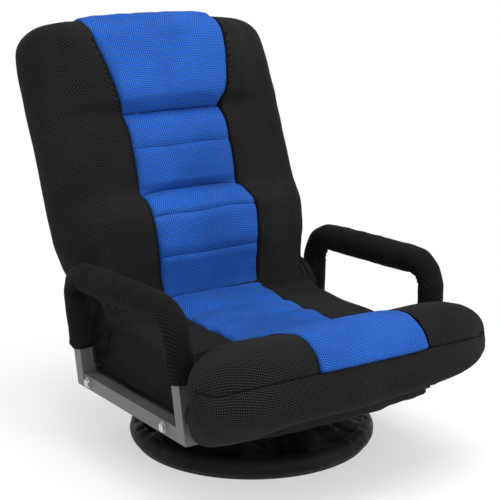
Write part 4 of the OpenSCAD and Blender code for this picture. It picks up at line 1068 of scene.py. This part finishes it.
def make_gusset(side, name):
    """Padding in the front of the groove beside the bolster, ahead of the back's hinge plate."""
    x0, x1 = BOLSTER_HALF + PAD_GAP, CHEEK_IN - PAD_GAP
    r0, r1 = 46.0, BOLSTER_R - 0.5
    arc = np.radians(np.linspace(92, 205, 70))
    t = np.linspace(0, TAU, 28, endpoint=False)
    tall = (r1 - r0) / 2
    x = (x0 + x1) / 2 + (x1 - x0) / 2 * signed_power(np.cos(t), 0.4)
    r = (r0 + r1) / 2 + tall * signed_power(np.sin(t), 0.4)
    taper = np.sqrt(1 - np.clip(1 - (arc - arc[0]) / 0.16, 0, 1) ** 2) * 0.9 + 0.1
    r = mix(r0 + tall, r, taper[:, None])
    Y = PIVOT[0] + r * np.cos(arc)[:, None]
    Z = PIVOT[1] + r * np.sin(arc)[:, None]
    add(name, grid(side * x, Y, Z), BLACK, "seat", fill=0.8)


# Arm sleeves

ARM_X, RAIL_MID = 229.0, 102.0
SPLAY, RAKE, PITCH = (math.radians(v) for v in (4, 4, 1.7))
BEND_R = 42.0


def arm_line():
    """The sleeve's middle line in the arm's plane, from the rear post over the top to the front post."""
    y_rear, y_front, rise, rear_hem, front_hem = 139.0, -171.0, 181.0, 53.0, 82.0
    # The ways that it runs: up the rear post, forward along the top, down the front post
    up, ahead, down = QUARTER - RAKE, 2 * QUARTER - PITCH, 3 * QUARTER - RAKE
    rake, pitch = math.tan(RAKE), math.tan(PITCH)

    def heading(a):
        return np.array([math.cos(a), math.sin(a)])

    def bend(y, a0, a1):
        """Round the corner of the post that stands at y, where the line turns from a0 to a1."""
        v = (rise - (y - (y_rear + y_front) / 2) * pitch) / (1 + rake * pitch)
        start = np.array([y + v * rake, v]) - BEND_R * math.tan((a1 - a0) / 2) * heading(a0)
        centre = start + BEND_R * heading(a0 + QUARTER)
        return [centre - BEND_R * heading(a + QUARTER) for a in np.linspace(a0, a1, 14)]

    first = np.array([y_rear + rear_hem * rake, rear_hem])
    last = np.array([y_front + front_hem * rake, front_hem])
    rear, front = bend(y_rear, up, ahead), bend(y_front, ahead, down)
    pts = [mix(first, rear[0], k) for k in (0, 0.25, 0.5, 0.75)] + rear
    pts += [mix(rear[-1], front[0], k) for k in np.linspace(0, 1, 14)[1:-1]] + front
    pts += [mix(front[-1], last, k) for k in (0.33, 0.66, 1)]
    return np.array(pts)


def make_sleeve(side, name, node, seed):
    line, _ = spline(arm_line(), 230)
    s = run_length(line)
    total = s[-1]
    tang = unit(np.gradient(line, axis=0))
    bend = np.abs(np.gradient(np.unwrap(np.arctan2(tang[:, 1], tang[:, 0])), s)) * BEND_R
    bend = np.convolve(np.pad(bend, 4, mode="edge"), np.ones(9) / 9, "valid")[:, None]
    size = curve([[0, 19.4], [70, 19.6], [125, 20.6], [165, 23.2], [total * 0.5, 23.6],
                  [total - 150, 23.3], [total - 110, 21.4], [total - 50, 20.4], [total, 20.2]])
    TH, S = np.meshgrid(np.linspace(0, TAU, 72, endpoint=False), s)
    r = size(S)
    # Rucks across the inside of the bends, fewer at the front one
    inner = np.clip(-np.cos(TH), 0, 1)
    where = np.where(S < total / 2, 1.0, 0.45) * bend * inner**0.6
    rucks = 1.35 * np.sin(S * TAU / 10.5 + 1.3 * wave(TH, 2.2, seed)) + 0.81 * wave(S, 15, seed + 1)
    r = r + where * rucks
    r = r + 0.55 * wave(S + 5 * np.sin(TH), 30, seed + 2) * (0.35 + 0.65 * bend)
    r = r + 0.5 * wave(S * 0.3 + 40 * TH / TAU, 21, seed + 3)
    # Hems: drawn in and gathered at both ends
    for e in (S, total - S):
        r = r - 3.2 * (1 - ease(e / 7)) + 0.5 * near(e - 7, 8) * wave(TH * 20, 11, seed + 4)
    r = r + 0.48 * bell(S - 9, 3.5)
    # The seam along the underside of the rest
    r = r - 1.3 * near(TH - math.pi - 0.35, 0.08)
    # In the arm's plane, the normal on the left of the direction of travel points into the loop
    into = np.stack([-tang[:, 1], tang[:, 0]], 1)
    y = line[:, :1] - r * np.cos(TH) * into[:, :1]
    v = line[:, 1:] - r * np.cos(TH) * into[:, 1:]
    x = r * np.sin(TH)
    X = side * (ARM_X + x * math.cos(SPLAY) + v * math.sin(SPLAY))
    Z = RAIL_MID + v * math.cos(SPLAY) - x * math.sin(SPLAY)
    thread = (np.minimum(np.abs(S - 5), np.abs(total - S - 5)), 23 * TH)
    add(name, grid(X, y, Z), SLEEVE, "seat", node, row=110, fill=0.6, thread=thread)


# Cloth of the base and of the seat's underside


def make_base_cover():
    """The cover over the floor ring: slack between the cross bars, drawn together at its opening."""
    ring_r, ring_z, tube_r, thick = 184.0, 17.0, 14.4, 1.5
    rim_z, open_r, open_z = 33.0, 92.0, 72.4
    # Where the cloth is taut, in degrees round the base, and how deep it sinks after each of these ridges
    ridges = [-2, 24, 47, 71, 90, 113, 136, 158, 182, 207, 231, 244, 255, 271, 293, 316, 337, 360, 384]
    slack = np.array([10, 10, 12, 10, 14, 18, 20, 27, 31, 31, 3, 20, 29, 6, 4, 6, 9, 10])
    ridges = np.radians(ridges)
    phi = np.linspace(0, TAU, 288, endpoint=False)
    rim = phi * 190  # the way round the rim
    over_tube = np.radians(np.linspace(-48, 90, 17))
    u = np.concatenate([np.linspace(0.02, 0.3, 15), np.linspace(0.33, 0.96, 22), [0.985, 1.0]])
    PH, U = np.meshgrid(phi, u, indexing="ij")

    def skin(off):
        """One face of the cloth: over the tube, and then in to the opening."""
        gather = (0.5 * wave(rim, 9, 405) + 0.9 * wave(rim, 37, 406))[:, None]
        hem = 0.25 * wave(rim, 26, 400)[:, None] + gather * ease(over_tube / 0.9)
        tube = tube_r + off + hem
        taut = mix(rim_z, open_z, U)
        z = taut + gather * (1 - ease(U / 0.2))
        # Slack cloth sinks in pockets between the ridges, and lies over the cross bars
        off_bar = np.abs(np.sin(2 * PH))
        hang = ease((off_bar - 0.12) / 0.3)
        k = np.searchsorted(ridges, PH, side="right") - 1
        pocket = np.sin(math.pi * (PH - ridges[k]) / (ridges[k + 1] - ridges[k])) ** 0.62
        z = z - slack[k] * pocket * hang * window(U, 0, 0.13, 0.34, 0.62)
        # Folds run from the drawn opening outwards and die before the rim
        fold = signed_power(wave(PH * 92 + 7 * np.sin(3 * PH) * (1 - U), 20, 402), 0.75)
        z = z + 3.2 * fold * window(U, 0.02, 0.15, 0.93, 0.07) * (0.4 + 0.6 * hang)
        cross = wave(PH * 120 + 260 * U, 60, 403) * wave(PH * 60 - 140 * U, 55, 404)
        z = z + 1.8 * cross * np.sin(math.pi * U) * hang + off
        z = np.where(off_bar < 0.2, np.maximum(z, taut - 1.5), z)
        r = np.concatenate([ring_r + tube * np.cos(over_tube), mix(ring_r, open_r, U)], 1)
        z = np.concatenate([ring_z + tube * np.sin(over_tube), z], 1)
        return grid(r * np.cos(phi)[:, None], r * np.sin(phi)[:, None], z)

    P = np.concatenate([skin(thick), skin(0.0)[:, ::-1]], 1)
    o = add("base_skirt", P, NYLON, "base", "base_cover", slot="black_nylon", ring=True, ref=16)


def make_bottom_cover():
    """Thin cloth stapled under the seat frame: it sags to the middle and turns up over the front rail."""
    half, y_front, y_rear, hole, level = 193.0, -203.0, 192.0, 79.0, 92
    xs = np.unique(np.concatenate([np.linspace(-half, half, 97), [-hole, hole]]))
    ys = np.unique(np.concatenate([np.linspace(y_front, y_rear, 100), [-hole, hole]]))
    turned_up = [(-206.6, 108), (-206.6, 104), (-206.6, 98), (-206.4, 94), (-205.6, 91.6)]
    sag = curve([[0, 10], [0.42, 9], [0.74, 4], [0.97, 1.5], [1, 1.2]])

    def height(y):
        """How high each point of a row at y is."""
        out = np.abs(xs) / half
        free = ease(np.minimum(1, (y_rear - y) / 30))
        return level - sag(out) * free - 0.7 * wave(xs + 0.3 * y, 46, 501) * dome(out, 4) * free

    rows = []
    wobble = wave(xs, 60, 502)
    for k, (y, z) in enumerate(turned_up):
        droop = (height(y_front) - level) * min(1, k / 3)
        rows.append(grid(xs, y + 0.3 * wobble, z + droop + 0.5 * wobble))
    rows += [grid(xs, y, height(y)) for y in ys]

    # Faces, but none over the square hole for the swivel plate
    in_hole_x = np.abs(xs[:-1] + xs[1:]) / 2 < hole
    in_hole_y = np.concatenate([np.zeros(len(turned_up), bool), np.abs(ys[:-1] + ys[1:]) / 2 < hole])
    j, i = np.nonzero(~(in_hole_y[:, None] & in_hole_x))
    n = len(xs)
    faces = np.stack([j * n + i, j * n + i + 1, (j + 1) * n + i + 1, (j + 1) * n + i], 1)
    verts = np.concatenate(rows) * MM
    me = bpy.data.meshes.new("seat_dust_cover")
    me.from_pydata(verts.tolist(), [], faces.tolist())
    me.validate()
    weave = verts.astype(np.float32)[faces.ravel()]
    weave[:, 1] -= weave[:, 2]
    weave[:, 2] = 0
    dress_mesh(me, NYLON, weave)
    o = put("seat_dust_cover", me)
    cloth = o.modifiers.new("cloth", "SOLIDIFY")
    cloth.thickness, cloth.offset = 0.0008, 0.0
    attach(o, "seat")
    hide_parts("seat_bottom_cover")


make_back()
make_lumbar()
make_mid()
make_head()
make_rear_panel()
make_seat()
make_seat_panel()
make_roll()
make_roll_panel()
make_bolster()
make_gusset(1, "hinge_gusset_left")
make_gusset(-1, "hinge_gusset_right")
make_sleeve(1, "sleeve_left", "arm_sleeve_left", 601)
make_sleeve(-1, "sleeve_right", "arm_sleeve_right", 631)
make_base_cover()
make_bottom_cover()


# Floor and light

WHITE = rgb(1, 1, 1)


def seen(t):
    """1 for rays from the camera, a glossy or a clear surface, and 0 for the rest."""
    path = t.add("LightPath").outputs
    total = path["Is Camera Ray"]
    for kind in ("Is Glossy Ray", "Is Transmission Ray"):
        total = t.math("MAXIMUM", total, path[kind])
    return total


def mixed(t, share, a, b):
    """Shader a, and b as far as the share says."""
    return t.add("MixShader", share, a.outputs[0], b.outputs[0]).outputs[0]


def make_floor(half=14):
    """A pale floor, plain white to the eye further out, which keeps the shadow under the chair."""
    mat = bpy.data.materials.new("floor")
    t = Nodes(mat)
    whiter = t.range(t.vec("LENGTH", t.coord()), 0.25, 0.75, 0.5, 1.0)
    pale, white = t.add("BsdfDiffuse", rgb(0.97, 0.97, 0.97)), t.add("Emission", WHITE)
    t.add("OutputMaterial", mixed(t, t.times(seen(t), whiter), pale, white))
    me = bpy.data.meshes.new("floor")
    corners = [(-half, -half, 0), (half, -half, 0), (half, half, 0), (-half, half, 0)]
    me.from_pydata(corners, [], [(0, 1, 2, 3)])
    me.materials.append(mat)
    put("floor", me)


def make_world():
    """Soft white light from all round, and plain white to the eye."""
    world = bpy.data.worlds.new("studio")
    bpy.context.scene.world = world
    t = Nodes(world)
    soft, white = t.add("Background", WHITE, 0.78), t.add("Background", WHITE, 1.0)
    t.add("OutputWorld", mixed(t, seen(t), soft, white))


def lamp(name, place, size, watts, target=(0, 0, 0.3)):
    data = bpy.data.lights.new(name, "AREA")
    data.shape = "DISK"
    data.size, data.energy = size, watts
    aim(put(name, data), place, Vector(target) - Vector(place))


make_floor()
make_world()
lamp("top", (0.2, -0.6, 2.9), 2.2, 44)
lamp("front", (0.2, -3.2, 1.6), 1.8, 25)
bpy.context.scene.view_settings.view_transform = "Standard"
